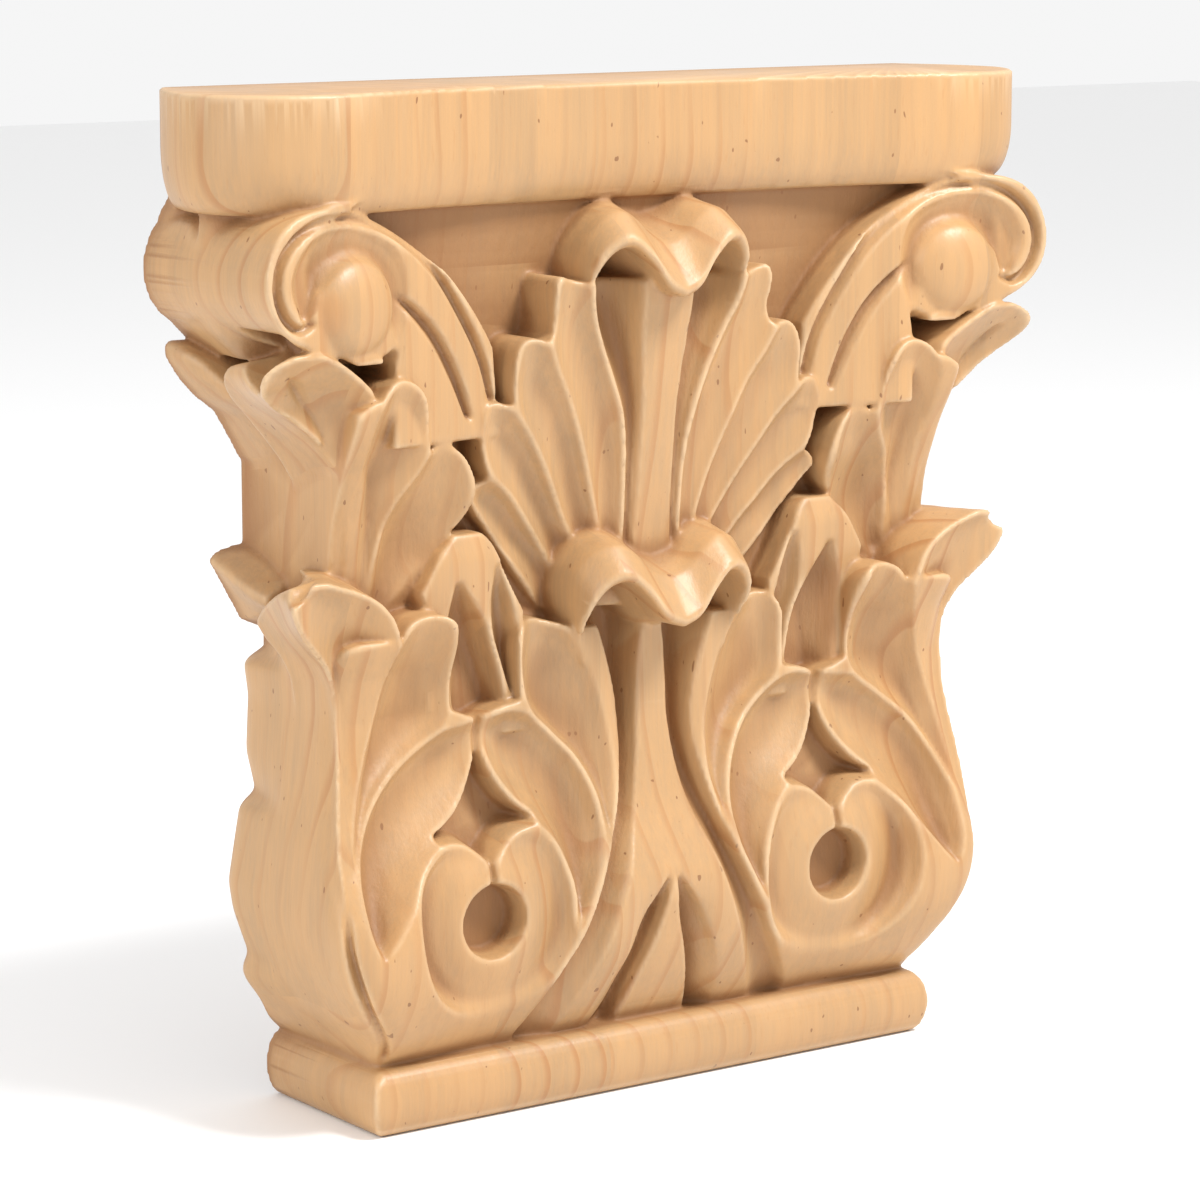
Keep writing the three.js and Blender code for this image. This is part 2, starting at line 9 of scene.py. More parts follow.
import bmesh
import bpy
import numpy as np
import openvdb as vdb
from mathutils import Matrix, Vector


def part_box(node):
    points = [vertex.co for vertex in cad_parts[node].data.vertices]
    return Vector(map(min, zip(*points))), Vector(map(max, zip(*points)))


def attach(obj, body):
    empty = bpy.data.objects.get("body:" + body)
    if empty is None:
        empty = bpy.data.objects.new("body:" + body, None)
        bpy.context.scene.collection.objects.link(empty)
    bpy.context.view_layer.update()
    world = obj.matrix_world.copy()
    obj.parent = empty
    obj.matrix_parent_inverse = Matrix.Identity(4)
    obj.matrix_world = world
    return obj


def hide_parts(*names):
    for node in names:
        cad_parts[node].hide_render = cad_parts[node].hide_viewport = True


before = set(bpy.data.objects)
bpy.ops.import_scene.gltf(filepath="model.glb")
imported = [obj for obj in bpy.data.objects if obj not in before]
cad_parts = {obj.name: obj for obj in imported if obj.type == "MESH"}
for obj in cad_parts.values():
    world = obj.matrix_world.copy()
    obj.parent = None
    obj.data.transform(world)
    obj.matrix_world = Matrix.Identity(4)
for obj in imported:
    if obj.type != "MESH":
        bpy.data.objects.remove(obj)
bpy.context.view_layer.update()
cad_low, cad_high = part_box("capital")

HEIGHT = (cad_high.z - cad_low.z) * 1000
BACK = cad_high.y * 1000

# ---------- main sizes, in millimetres ----------
BAR_HEIGHT = 17.5
BAR_HALF = 87.2
BAR_DEPTH = 49.8
BAR_BULGE = 4.6
ABACUS_FOOT = 237.6
ABACUS_EDGE = 252.0
OVOLO = 4.6
EYE_X, EYE_Z = 56.5, 53.6
EYE_RADIUS = 8.5
EYE_DEPTH = 9.0
SPLIT = 107.0
FAN_FOOT = 130.0
FACES = 190000

# ---------- the grid ----------
STEP = 0.75
PAD = 4
NX = int(132 / STEP) + 2 * PAD
ND = int(66 / STEP) + 2 * PAD
NZ = int(267 / STEP) + 2 * PAD
XS = ((np.arange(NX) - PAD) * STEP).astype(np.float32)
DS = ((np.arange(ND) - PAD) * STEP).astype(np.float32)
ZS = ((np.arange(NZ) - PAD) * STEP).astype(np.float32)
X2, Z2 = np.meshgrid(XS, ZS, indexing="ij")
D2, ZD2 = np.meshgrid(DS, ZS, indexing="ij")
FAR = 3.0 * STEP


def smooth(low, high, v):
    """Eased step from 0 at low to 1 at high."""
    f = np.clip((v - low) / (high - low), 0, 1)
    return f * f * (3 - 2 * f)


def profile(pairs, z):
    """Straight-line reading of (height, size) pairs."""
    return np.interp(z, [p[0] for p in pairs], [p[1] for p in pairs])


def spline(values, t):
    """Catmull-Rom curve through evenly spaced values (n numbers or n points) at t in 0..1."""
    v = np.asarray(values, float)
    if v.ndim == 0:
        return np.full(np.shape(t), float(v))
    v = np.concatenate([[2 * v[0] - v[1]], v, [2 * v[-1] - v[-2]]])
    place = np.clip(t, 0, 1) * (len(v) - 3)
    i = np.minimum(place.astype(int), len(v) - 4)
    f = place - i
    if v.ndim == 2:
        f = f[:, None]
    a, b, c, d = v[i], v[i + 1], v[i + 2], v[i + 3]
    square = (2 * a - 5 * b + 4 * c - d) * f**2
    cube = (3 * b - a - 3 * c + d) * f**3
    return b + (c - a) * f / 2 + square / 2 + cube / 2


def soft_min(a, b, k):
    """The smaller of two fields, with their meeting rounded over a width k."""
    h = np.clip(0.5 + 0.5 * (b - a) / k, 0, 1)
    return b + (a - b) * h - k * h * (1 - h)


def soft_max(a, b, k):
    return -soft_min(-a, -b, k)


# ---------- flat outlines and hollows in one plane ----------
def corners(outline, steps=10):
    """Points of an outline given as [x, z] corners and [cx, cz, x, z] curves."""
    points = []
    for p in outline:
        if len(p) == 2:
            points.append(p)
        else:
            start = points[-1]
            for k in range(1, steps + 1):
                t = k / steps
                points.append([
                    (1 - t) ** 2 * start[j] + 2 * t * (1 - t) * p[j] + t * t * p[j + 2] for j in (0, 1)
                ])
    return np.array(points)


def inside(outline, U, V):
    """Signed distance to an outline in a plane, negative inside it."""
    poly = corners(outline)
    near = np.full(U.shape, 1e9)
    odd = np.zeros(U.shape, bool)
    for a, b in zip(poly, np.roll(poly, -1, 0)):
        e = b - a
        if not e.any():
            continue
        t = np.clip(((U - a[0]) * e[0] + (V - a[1]) * e[1]) / (e @ e), 0, 1)
        near = np.minimum(near, (U - a[0] - t * e[0]) ** 2 + (V - a[1] - t * e[1]) ** 2)
        if a[1] != b[1]:
            odd ^= ((a[1] > V) != (b[1] > V)) & (U < e[0] * (V - a[1]) / e[1] + a[0])
    return (np.where(odd, -1, 1) * np.sqrt(near)).astype(np.float32)


CUT_EASE = 0.3


def hollow(h, base, cut, U, V, us, vs):
    """Lowers the height map h by one gouge cut that starts from the surface base.

    The cut reaches the surface at +-half; its deepest line lies at lean (-1..1) of that,
    positive to the right of the path's direction.
    """
    path, half, depth = cut["path"], cut["half"], cut["depth"]
    t = np.linspace(0, 1, 12 * (len(path) - 1) + 1)
    p, w, d = spline(path, t), np.maximum(spline(half, t), 0.3), spline(depth, t)
    lean = spline(cut.get("lean", 0.0), t)
    reach = 1.7 * w.max() + 1
    lo = p.min(0) - reach
    hi = p.max(0) + reach
    i0, i1 = np.searchsorted(us, [lo[0], hi[0]])
    j0, j1 = np.searchsorted(vs, [lo[1], hi[1]])
    win = (slice(i0, i1), slice(j0, j1))
    if i1 <= i0 or j1 <= j0:
        return
    u, v = U[win], V[win]
    best = np.full(u.shape, 1e9)
    wide = np.ones(u.shape)
    deep = np.zeros(u.shape)
    place = np.zeros(u.shape)
    right = np.ones(u.shape)
    for k in range(len(t) - 1):
        e = p[k + 1] - p[k]
        s = np.clip(((u - p[k, 0]) * e[0] + (v - p[k, 1]) * e[1]) / max(e @ e, 1e-9), 0, 1)
        dist = (u - p[k, 0] - s * e[0]) ** 2 + (v - p[k, 1] - s * e[1]) ** 2
        hit = dist < best
        best = np.where(hit, dist, best)
        wide = np.where(hit, w[k] + (w[k + 1] - w[k]) * s, wide)
        deep = np.where(hit, d[k] + (d[k + 1] - d[k]) * s, deep)
        place = np.where(hit, lean[k] + (lean[k + 1] - lean[k]) * s, place)
        right = np.where(hit, np.sign((u - p[k, 0]) * e[1] - (v - p[k, 1]) * e[0]), right)
    s = np.minimum(np.sqrt(best) / wide, 3) * right
    s = np.where(s > place, (s - place) / (1 - place), (place - s) / (1 + place))
    h[win] = soft_min(h[win], base[win] - deep * (1 - np.minimum(s, 3) ** 2), CUT_EASE)


def dish(h, base, floor, outline, wall):
    """Sinks the inside of an outline from base to floor, over a wall of the given width."""
    edge = inside(outline, X2, Z2)
    part = np.clip(-edge / wall, -1, 1)
    part = np.sin(part * math.pi / 2)
    sunk = base - (base - floor) * part
    near = edge < wall
    h[near] = soft_min(h[near], np.where(edge > 0, base + 4 * edge, sunk)[near], 0.5)


def flatten(h, us, vs):
    """Factor that turns a height difference into a distance from the surface."""
    gu, gv = np.gradient(h, us, vs)
    return (1 / np.sqrt(1 + np.minimum(gu, 6) ** 2 + np.minimum(gv, 6) ** 2)).astype(np.float32)


# ---------- lofted forms ----------
def loft_field(rings):
    """Field of a closed body lofted through rings of [x, depth, z] points."""
    rings = np.asarray(rings, float)
    count, size = rings.shape[:2]
    points = rings.reshape(-1, 3)
    tris, quads = [], []
    for k in range(count - 1):
        for i in range(size):
            a, b = k * size + i, k * size + (i + 1) % size
            quads.append((a, b, b + size, a + size))
    end = (count - 1) * size
    for i in range(1, size - 1):
        tris.append((0, i + 1, i))
        tris.append((end, end + i, end + i + 1))
    quads, tris = np.array(quads, np.uint32), np.array(tris, np.uint32)
    a, b, c, d = (points[quads[:, j]] for j in range(4))
    volume = np.einsum("ij,ij->", a, np.cross(b, c)) + np.einsum("ij,ij->", a, np.cross(c, d))
    volume += np.einsum("ij,ij->", points[tris[:, 0]], np.cross(points[tris[:, 1]], points[tris[:, 2]]))
    if volume < 0:
        quads, tris = quads[:, ::-1].copy(), tris[:, ::-1].copy()
    index = (points / STEP + PAD).astype(np.float32)
    grid = vdb.FloatGrid.createLevelSetFromPolygons(
        index, triangles=tris, quads=quads,
        transform=vdb.createLinearTransform(1.0), halfWidth=3.0,
    )
    low = np.maximum(np.floor(index.min(0)).astype(int) - 4, 0)
    high = np.minimum(np.ceil(index.max(0)).astype(int) + 5, [NX, ND, NZ])
    values = np.empty(tuple(high - low), np.float32)
    grid.copyToArray(values, ijk=tuple(int(v) for v in low))
    win = tuple(slice(a, b) for a, b in zip(low, high))
    return win, values * STEP


def frames(path, facing, t):
    """Points of a path with its directions along, across and outward."""
    p = spline(path, t)
    along = spline(path, np.minimum(t + 0.02, 1)) - spline(path, np.maximum(t - 0.02, 0))
    along /= np.linalg.norm(along, axis=1, keepdims=True)
    across = np.cross(along, facing)
    across /= np.linalg.norm(across, axis=1, keepdims=True)
    out = np.cross(across, along)
    return p, across, out


def tube_cut(cut, along=60, across=14):
    """Rings of a gouge cut on any face: its edges reach the surface at +-half."""
    facing = np.array(cut["facing"], float)
    facing /= np.linalg.norm(facing)
    reach = 1.3
    t = np.linspace(0, 1, along + 1)
    p, side, out = frames(np.array(cut["path"], float), facing, t)
    w, d = spline(cut["half"], t), spline(cut["depth"], t)
    s = np.linspace(-reach, reach, across + 1)
    rings = []
    for k in range(along + 1):
        low = p[k] + side[k] * (s * w[k])[:, None] + out[k] * (d[k] * (s * s - 1))[:, None]
        lid = max(d[k] * (reach * reach - 1), 0) + 3
        top = [p[k] + side[k] * (q * w[k] * 1.05) + out[k] * lid for q in (reach, -reach)]
        rings.append(np.vstack([low, top]))
    return rings


# ---------- the solid field, negative inside; only the right half is built ----------
F = np.full((NX, ND, NZ), FAR, np.float32)


def join(win, field):
    F[win] = np.minimum(F[win], field)


def cut_away(win, field):
    F[win] = np.maximum(F[win], -field)


def front_form(h, outline, x0, x1, z0, z1):
    """Field of a relief whose front is the height map h inside an outline."""
    i0, i1 = np.searchsorted(XS, [x0, x1])
    j0, j1 = np.searchsorted(ZS, [z0, z1])
    win2 = (slice(i0, i1), slice(j0, j1))
    scale = flatten(h[win2], XS[i0:i1], ZS[j0:j1])
    field = (DS[None, :, None] - h[win2][:, None, :]) * scale[:, None, :]
    edge = inside(outline, X2[win2], Z2[win2])
    field = soft_max(field, edge[:, None, :], 0.8)
    field = np.maximum(field, -DS[None, :, None])
    return (slice(i0, i1), slice(0, ND), slice(j0, j1)), field


FRONT = (0, 1, 0)
CORNER = (0.7, 0.7, 0)
UP = (0, 0, 1)

# ---------- crests: how far the carving stands out ----------
SCROLL_CREST = [
    (16, 45), (20, 48.5), (25, 51.5), (34, 56), (42, 59), (50, 60), (58, 59.5), (66, 57.5),
    (75, 55), (86, 52.5), (100, 50), (115, 49.5), (136, 50),
]
BELLY = [(16, 0), (24, 4), (36, 4.5), (45, 4), (53, 3.5), (60, 2.5), (68, 1.2), (75, 0.5), (90, 0)]
STEM = [(16, 0.5), (30, 1.5), (45, 2.5), (57, 0.2), (70, 2), (80, 2.8), (100, 2), (115, 1.5)]
FAN_CREST = [(128, 45.5), (152, 48), (170, 50), (190, 52.3), (202, 54), (212, 56), (222, 57)]
FAN_DROP = [(128, 7), (140, 6), (152, 4.5), (160, 3.2), (170, 1.2), (180, 0), (200, -0.4)]
LOBE_CREST = [
    (134, 40), (145, 42), (150, 43), (155, 44.5), (160, 46.5), (165, 49), (172, 51), (178, 53.5),
    (185, 55.5), (191, 57.5), (197, 59),
]
LOBE_TILT = [(150, 0), (158, -0.08), (165, -0.11), (175, -0.03), (185, 0.12), (200, 0.12)]
SIDE_CREST = [
    (16, 86), (20, 89), (24, 91), (30, 96), (36, 99.5), (45, 103), (57, 105),
    (75, 103.5), (90, 101), (110, 99.4), (122, 100), (136, 104),
]
SIDE_BACK = [
    (16, 86), (22, 92.8), (34, 101.7), (37, 102.6), (41, 99.8), (53, 104.5), (61, 106),
    (81, 102), (84, 96.3), (95, 99.8), (110, 99), (119, 100.5), (122, 92), (136, 91),
]


def blurred(pairs, z, width=3.0):
    """Reading of a profile with its corners eased."""
    total = 0
    for k in (-1, -0.5, 0, 0.5, 1):
        total = total + profile(pairs, z + k * width)
    return total / 5


AX = np.abs(X2)
SCROLL = (
    blurred(SCROLL_CREST, Z2)
    + blurred(BELLY, Z2) * smooth(48, 84, AX)
    - blurred(STEM, Z2) * smooth(16, 9, AX)
    + profile([(108, 0), (120, 2.5), (128, 5.5), (136, 8)], Z2) * smooth(60, 68, AX)
)
SHADE = 46.2 + 1.5 * smooth(118, 146, Z2) - 1.5 * smooth(146, 154, Z2)
FAN = blurred(FAN_CREST, Z2) - blurred(FAN_DROP, Z2) * smooth(7, 27, AX)
LOBE = blurred(LOBE_CREST, Z2) + blurred(LOBE_TILT, Z2) * (X2 - 80)
VOLUTE = 48 + (X2 - 50) * 0.18

# ---------- bar, bell and abacus ----------
def bar():
    rings = []
    for k in range(25):
        angle = k / 24 * math.pi
        z = BAR_HEIGHT / 2 * (1 - math.cos(angle))
        out = BAR_BULGE * math.sin(angle)
        x, y = BAR_HALF + out, BAR_DEPTH + out
        rings.append([[-20, 0, z], [x, 0, z], [x, y, z], [-20, y, z]])
    return rings


BELL = [
    (10, 80, 40), (20, 84, 42), (60, 94, 44), (95, 92, 40), (125, 91, 37), (150, 91, 36),
    (180, 92, 36), (205, 95, 37), (225, 101, 39), (240, 108, 43),
]


def bell():
    cut = 10
    rings = []
    for z in np.linspace(10, 240, 47):
        x = blurred([(b[0], b[1]) for b in BELL], z, 8)
        y = blurred([(b[0], b[2]) for b in BELL], z, 8)
        rings.append([[-20, 0, z], [x, 0, z], [x, y - cut, z], [x - cut, y, z], [-20, y, z]])
    return rings


ABACUS_PLAN = [
    (0, 47.5), (40, 48.2), (68, 50.6), (86, 54.6), (101, 57),
    (113, 55.2), (122, 48.5), (128, 38), (129, 27), (125.5, 13), (119, 0),
]


def abacus():
    plan = spline(ABACUS_PLAN, np.linspace(0, 1, 80))
    levels = [(ABACUS_FOOT - 0.5, 1.0)]
    for k in range(1, 13):
        a = k / 12 * math.pi / 2
        z = ABACUS_FOOT + (ABACUS_EDGE - ABACUS_FOOT) * (1 - math.cos(a))
        levels.append((z, (1 - math.sin(a))))
    levels += [(ABACUS_EDGE + 4, 0.0), (HEIGHT - 0.6, 0.0), (HEIGHT, 0.12)]
    rings = []
    for z, part in levels:
        x = plan[:, 0] * (1 - part * OVOLO / 129.5)
        y = plan[:, 1] * (1 - part * OVOLO / 52)
        ring = [[-20, y[0], z]] + [[a, b, z] for a, b in zip(x, y)] + [[-20, 0, z]]
        rings.append(ring)
    return rings


# ---------- lower group ----------
SCROLL_OUTLINE = [
    [-20, 14], [115, 14], [115, 130], [84, 130], [82.5, 129.5], [80, 135, 72, 135],
    [64.5, 135, 64.5, 124], [64.5, SPLIT + 2], [60, SPLIT, 55.3, SPLIT - 1.5],
    [50, SPLIT + 1.5, 43, SPLIT + 2], [43.2, 122], [43.2, 130, 36, 129.5], [25.5, 126.5],
    [-20, 126.5],
]
SCROLL_CUTS = [
    # flute beside the centre stem, opening under the rolled tip and at the foot
    dict(path=[[11, 130], [9.8, 118], [8.6, 106], [8.6, 94], [10.8, 82], [14.6, 70], [19.6, 58],
               [25, 46], [31, 34], [39, 19]],
         half=[9, 6, 4, 3.2, 3.2, 3.4, 3.8, 4.4, 5.2, 6],
         depth=[13, 11, 9, 7.5, 6.5, 6.5, 6.5, 6, 5, 3],
         lean=[0.1, 0, -0.25, -0.4, -0.45, -0.5, -0.5, -0.5, -0.5, -0.5]),
    # long lobe that leans against the centre leaf
    dict(path=[[19.2, 70], [18.6, 83], [21.2, 94.5], [26, 103.8], [30.8, 111.5], [34, 119.5],
               [37, 130]],
         half=[0.6, 3.2, 6, 8.8, 10.6, 9, 5.5], depth=[0.5, 3.5, 6, 7.4, 7.4, 6.4, 4],
         lean=[0, 0.1, 0.3, 0.4, 0.35, 0.1, 0]),
    # inner petal of the scroll
    dict(path=[[54, 101.2], [47.2, 97.5], [39.8, 91.2], [33.4, 83.7], [29.2, 75], [28, 65],
               [28.8, 57], [30.8, 49]],
         half=[6, 10, 11.6, 10.3, 8.2, 5.6, 3, 0.8], depth=[3, 6, 7.4, 8, 8, 7, 5.5, 1.2],
         lean=[0, 0.05, 0.1, 0.12, 0.05, 0, 0, 0]),
    # outer petal of the scroll
    dict(path=[[57, 100], [64, 95], [73.3, 88], [81.5, 80], [87, 72.5], [90.7, 63.5], [93, 56],
               [94, 51]],
         half=[6, 10.2, 12, 11.4, 9.6, 7.2, 4.2, 1.2], depth=[3.2, 6, 7.5, 8.5, 9, 9, 7, 2],
         lean=[0, -0.1, -0.22, -0.25, -0.2, -0.1, 0, 0]),
    # lobe under the corner leaf
    dict(path=[[98.6, 71], [95.4, 81], [89.8, 92], [82.5, 102], [76.8, 111.5], [75.2, 121],
               [75, 132]],
         half=[0.8, 3, 5.2, 8.8, 11.8, 10.6, 7.5], depth=[0.8, 3.5, 5.2, 6.6, 7.2, 6.2, 4],
         lean=[0, 0.1, 0.1, 0, -0.1, 0, 0]),
]
# narrow slits: above the star, and between the star and the eye
UPPER_SLIT = [[56, 97], [56, 108], [54.9, 108], [54.9, 97]]
LOWER_SLIT = [[57.2, 60], [57.2, 73], [56, 73], [56, 60]]
SLIT_EASE = 0.4
FOOT_SLIT = [
    [0.8, 59.5], [8, 50], [13, 40], [17.5, 31], [22.5, 18], [13.5, 18], [10, 31], [5.4, 44],
]
FOOT_SLIT_INNER = [(18, 13.5), (31, 10), (44, 5.4), (59.5, 0.8)]
DISH = [
    [56.6, 70.2], [52, 75.5, 45, 76.2], [39, 76.5, 34.6, 68], [29.5, 58, 31.3, 47],
    [33.5, 35, 46, 30], [58, 26.5, 68.5, 31], [80, 37, 82, 50], [83.5, 62, 77.5, 69.5],
    [71, 77.5, 64, 75.2], [58, 73, 56.6, 70.2],
]
STAR = [
    [55.3, 95.5], [52, 84, 43.2, 78.4], [49, 77.6, 52, 74.6], [55, 72, 56.6, 70.2],
    [59, 73, 63, 75.6], [66, 77, 70.6, 76.6], [60, 82, 55.3, 95.5],
]


def scroll_group():
    h = SCROLL.copy()
    for cut in SCROLL_CUTS:
        hollow(h, SCROLL, cut, X2, Z2, XS, ZS)
    away = np.hypot(X2 - EYE_X, Z2 - EYE_Z)
    floor = 57.6 - 4.2 * smooth(9.5, 24, away)
    dish(h, SCROLL, floor, DISH, 5.0)
    for outline, sunk in ((UPPER_SLIT, SCROLL - 5), (LOWER_SLIT, floor - 3)):
        h = np.where(inside(outline, X2, Z2) < SLIT_EASE, np.minimum(h, sunk), h)
    star = inside(STAR, X2, Z2)
    h = soft_min(h, SCROLL - 11 + 5 * np.maximum(star + 0.3, 0), 0.5)
    h = soft_min(h, floor - EYE_DEPTH + 6 * np.maximum(away - EYE_RADIUS, 0), 0.5)
    # the two slits of the stem's foot: upright inner wall, floor rising outwards
    wedge = inside(FOOT_SLIT, X2, Z2)
    across = np.clip((X2 - profile(FOOT_SLIT_INNER, Z2)) / 7.5, 0, 1)
    sunk = SCROLL - 7 * smooth(62, 47, Z2) * (1 - across)
    h = soft_min(h, sunk - 0.3 + 4 * np.maximum(wedge, 0), 0.3)
    win, field = front_form(h, SCROLL_OUTLINE, -3, 118, 14, 137)
    # the side: the back edge and the front corner follow their own profiles
    z = ZS[win[2]]
    crest, back = blurred(SIDE_CREST, z), blurred(SIDE_BACK, z, 1.5)
    part = np.clip(DS / 26, 0, 1)
    reach = back[None, :] + (crest - back)[None, :] * part[:, None]
    r = 2 + 5 * smooth(17, 30, z)
    side = (XS[win[0]][:, None, None] - reach[None]) * 0.97
    field = soft_max(field, side, (1.3 * r)[None, None, :])
    join(win, field)


# ---------- upper group ----------
FAN_OUTLINE = [
    [-20, FAN_FOOT], [30, FAN_FOOT], [34, 135], [40, 142], [46, 149.5], [51, 155.5], [55, 160.5],
    [58, 163.5, 54, 166.3], [51.6, 167.2], [53.3, 171.5], [57.5, 187.5, 50, 187.2], [46, 185.9],
    [48, 203.5, 40, 203.2], [36.6, 202.2], [34.9, 204], [34.4, 208], [36, 219, 32.5, 218.6],
    [30, 217.8], [26, 216.8], [-20, 216.8],
]
FAN_CUTS = [
    # flute beside the stem, opening under the curled tip
    dict(path=[[7.6, 144], [7.4, 155], [7.6, 170], [8.6, 182], [10.8, 192], [13.5, 202],
               [15.5, 212], [16, 222]],
         half=[1.4, 1.6, 2, 3, 4.6, 6.4, 8, 8.5], depth=[2.5, 2.8, 3.4, 4.5, 6.5, 9, 11.5, 12],
         lean=[0, 0, -0.1, -0.3, -0.3, -0.2, 0, 0]),
    dict(path=[[12.3, 144], [12.5, 152], [13.8, 160], [15.8, 170], [18.9, 180], [22.8, 190],
               [27, 200], [29.6, 208], [31, 220]],
         half=[2.5, 3.4, 4.6, 6.1, 7.1, 7.8, 8, 7.2, 5],
         depth=[2.5, 3, 3.6, 4.2, 4.4, 4.5, 4.5, 4.2, 3],
         lean=[0, -0.1, -0.3, -0.35, -0.35, -0.35, -0.3, -0.1, 0]),
    dict(path=[[18, 144], [19, 150], [22, 157], [26, 166], [30.4, 175], [35.2, 183.8], [39, 191],
               [41.5, 200]],
         half=[3, 3.6, 4.7, 5.8, 6.8, 7.9, 7.4, 5], depth=[2.5, 3, 3.6, 4.1, 4.4, 4.4, 4, 2.6],
         lean=[0, -0.1, -0.3, -0.35, -0.35, -0.3, -0.1, 0]),
    dict(path=[[23, 139], [25, 145], [29.5, 152], [33.8, 158.5], [39.2, 166], [44.8, 172.8],
               [49, 178.5], [51.5, 185]],
         half=[3.4, 4, 4.6, 5.2, 6.1, 7.2, 6.6, 4], depth=[2.5, 3, 3.5, 3.9, 4.2, 4.2, 3.8, 2.4],
         lean=[0, -0.1, -0.25, -0.35, -0.35, -0.3, -0.1, 0]),
    dict(path=[[28, 133], [30.5, 139], [36, 146], [41, 151], [46.8, 157.8], [51.5, 162.5],
               [55, 165]],
         half=[3.6, 4, 4.5, 5, 5.2, 4.4, 2.8], depth=[2, 2.6, 3.2, 3.5, 3.6, 3, 1.5],
         lean=[0, -0.1, -0.25, -0.3, -0.25, 0, 0]),
]
LOBE_OUTLINE = [
    [74, 130], [97, 130], [97, 188], [93, 190.5], [89.5, 191.2], [86.5, 195.8, 82, 195.8],
    [75.5, 194.5, 73.8, 186], [72.4, 177], [71, 176.6], [69, 178.4, 66.5, 178],
    [61, 176.5, 58, 168], [55.8, 161, 61, 154.5], [64.5, 150], [70, 141.5],
]
LOBE_CUTS = [
    dict(path=[[89, 140], [88.2, 148], [87.3, 155], [85.3, 165], [82.6, 175], [82.4, 185],
               [82.2, 196]],
         half=[2.5, 3.7, 4.9, 7, 9.2, 8.6, 5], depth=[2, 2.8, 3.6, 4.4, 4.6, 4.2, 2.5],
         lean=[0, 0, 0.15, 0.25, 0.25, 0.1, 0]),
    dict(path=[[81, 138], [77.5, 146], [74, 153], [70.8, 160], [68, 168], [66.8, 178]],
         half=[3, 6, 9.2, 10.4, 8.6, 4.5], depth=[2, 3.5, 4.4, 4.6, 4, 2.2],
         lean=[0, 0.1, 0.2, 0.2, 0.1, 0]),
]
# rounded mass in the shade between the two groups, with its two small hollows
SHADE_OUTLINE = [
    [40, 100], [70, 100], [70, 128], [72, 139], [66, 149], [61.5, 153.4], [53, 153.6],
    [50, 152, 48.5, 148], [44, 138, 40, 132],
]
SHADE_CUTS = [
    dict(path=[[41.5, 112], [43.5, 120], [46, 128], [47.5, 136], [48.6, 144]],
         half=[3, 3.6, 3.8, 3.2, 1.2], depth=[7, 6.5, 5.5, 4.5, 1.5], lean=-0.2),
    dict(path=[[54, 104], [54.5, 112], [56.5, 122], [58.8, 131], [60.5, 140]],
         half=[8, 8.2, 7.6, 5.6, 1.6], depth=[11, 10, 9, 7, 2],
         lean=[-0.2, -0.3, -0.35, -0.3, 0]),
]


def relief(base, outline, cuts, x0, x1, z0, z1):
    """Joins one flat-backed form whose front is the surface base with its cuts."""
    h = base.copy()
    for cut in cuts:
        hollow(h, base, cut, X2, Z2, XS, ZS)
    join(*front_form(h, outline, x0, x1, z0, z1))


# ---------- rolled tips of the two centre leaves ----------
LOWER_CURL = dict(rim=[[0, 64, 128.6], [5.5, 64, 131], [11, 63.5, 137.5], [16.5, 62.4, 141.8],
                       [22, 60.5, 140.5], [26, 58, 134.5], [26.2, 55, 126], [23.5, 52, 118]],
                  crown=[[0, 44, 144.5], [6, 44, 146], [11, 44, 149.5], [16, 43.8, 151],
                         [22, 42, 149.5], [26.5, 38, 145], [29, 35, 138], [28, 34, 128]],
                  under=40)
UPPER_CURL = dict(rim=[[0, 64, 215], [5, 64, 217.5], [10, 63.6, 224], [15.5, 62.8, 228.5],
                       [20.5, 61, 227.5], [24.3, 58.5, 222], [24.8, 56, 215], [23, 54, 208]],
                  crown=[[0, 41, 232.5], [5, 41, 234], [9, 41.5, 236], [12.5, 41.8, 237],
                         [18, 41, 235.5], [23, 39.5, 230], [26, 38.4, 223], [26, 38, 214]],
                  under=42)


def curl(shape):
    """Rings of a rolled leaf tip, swept from its left end round to its right end."""
    rings = []
    for k in range(73):
        u = 2 * k / 72 - 1
        flip = np.array([math.copysign(1, u) if u else 0, 1, 1])
        rx, ry, rz = spline(shape["rim"], np.array([abs(u)]))[0] * flip
        cx, cy, cz = spline(shape["crown"], np.array([abs(u)]))[0] * flip
        under = shape["under"]
        rings.append([
            [cx, 30, cz - 1], [cx, cy, cz], [(rx + cx) / 2, (ry + cy) / 2 + 2.5, (rz + cz) / 2 + 1.6],
            [rx, ry - 1.2, rz + 0.5], [rx, ry, rz - 1.2], [rx * 0.97, ry - 1.6, rz - 3],
            [rx * 0.9, (ry + under) / 2, rz - 3.2], [rx * 0.85, under, rz - 7], [cx * 0.9, 30, rz - 12],
        ])
    return rings


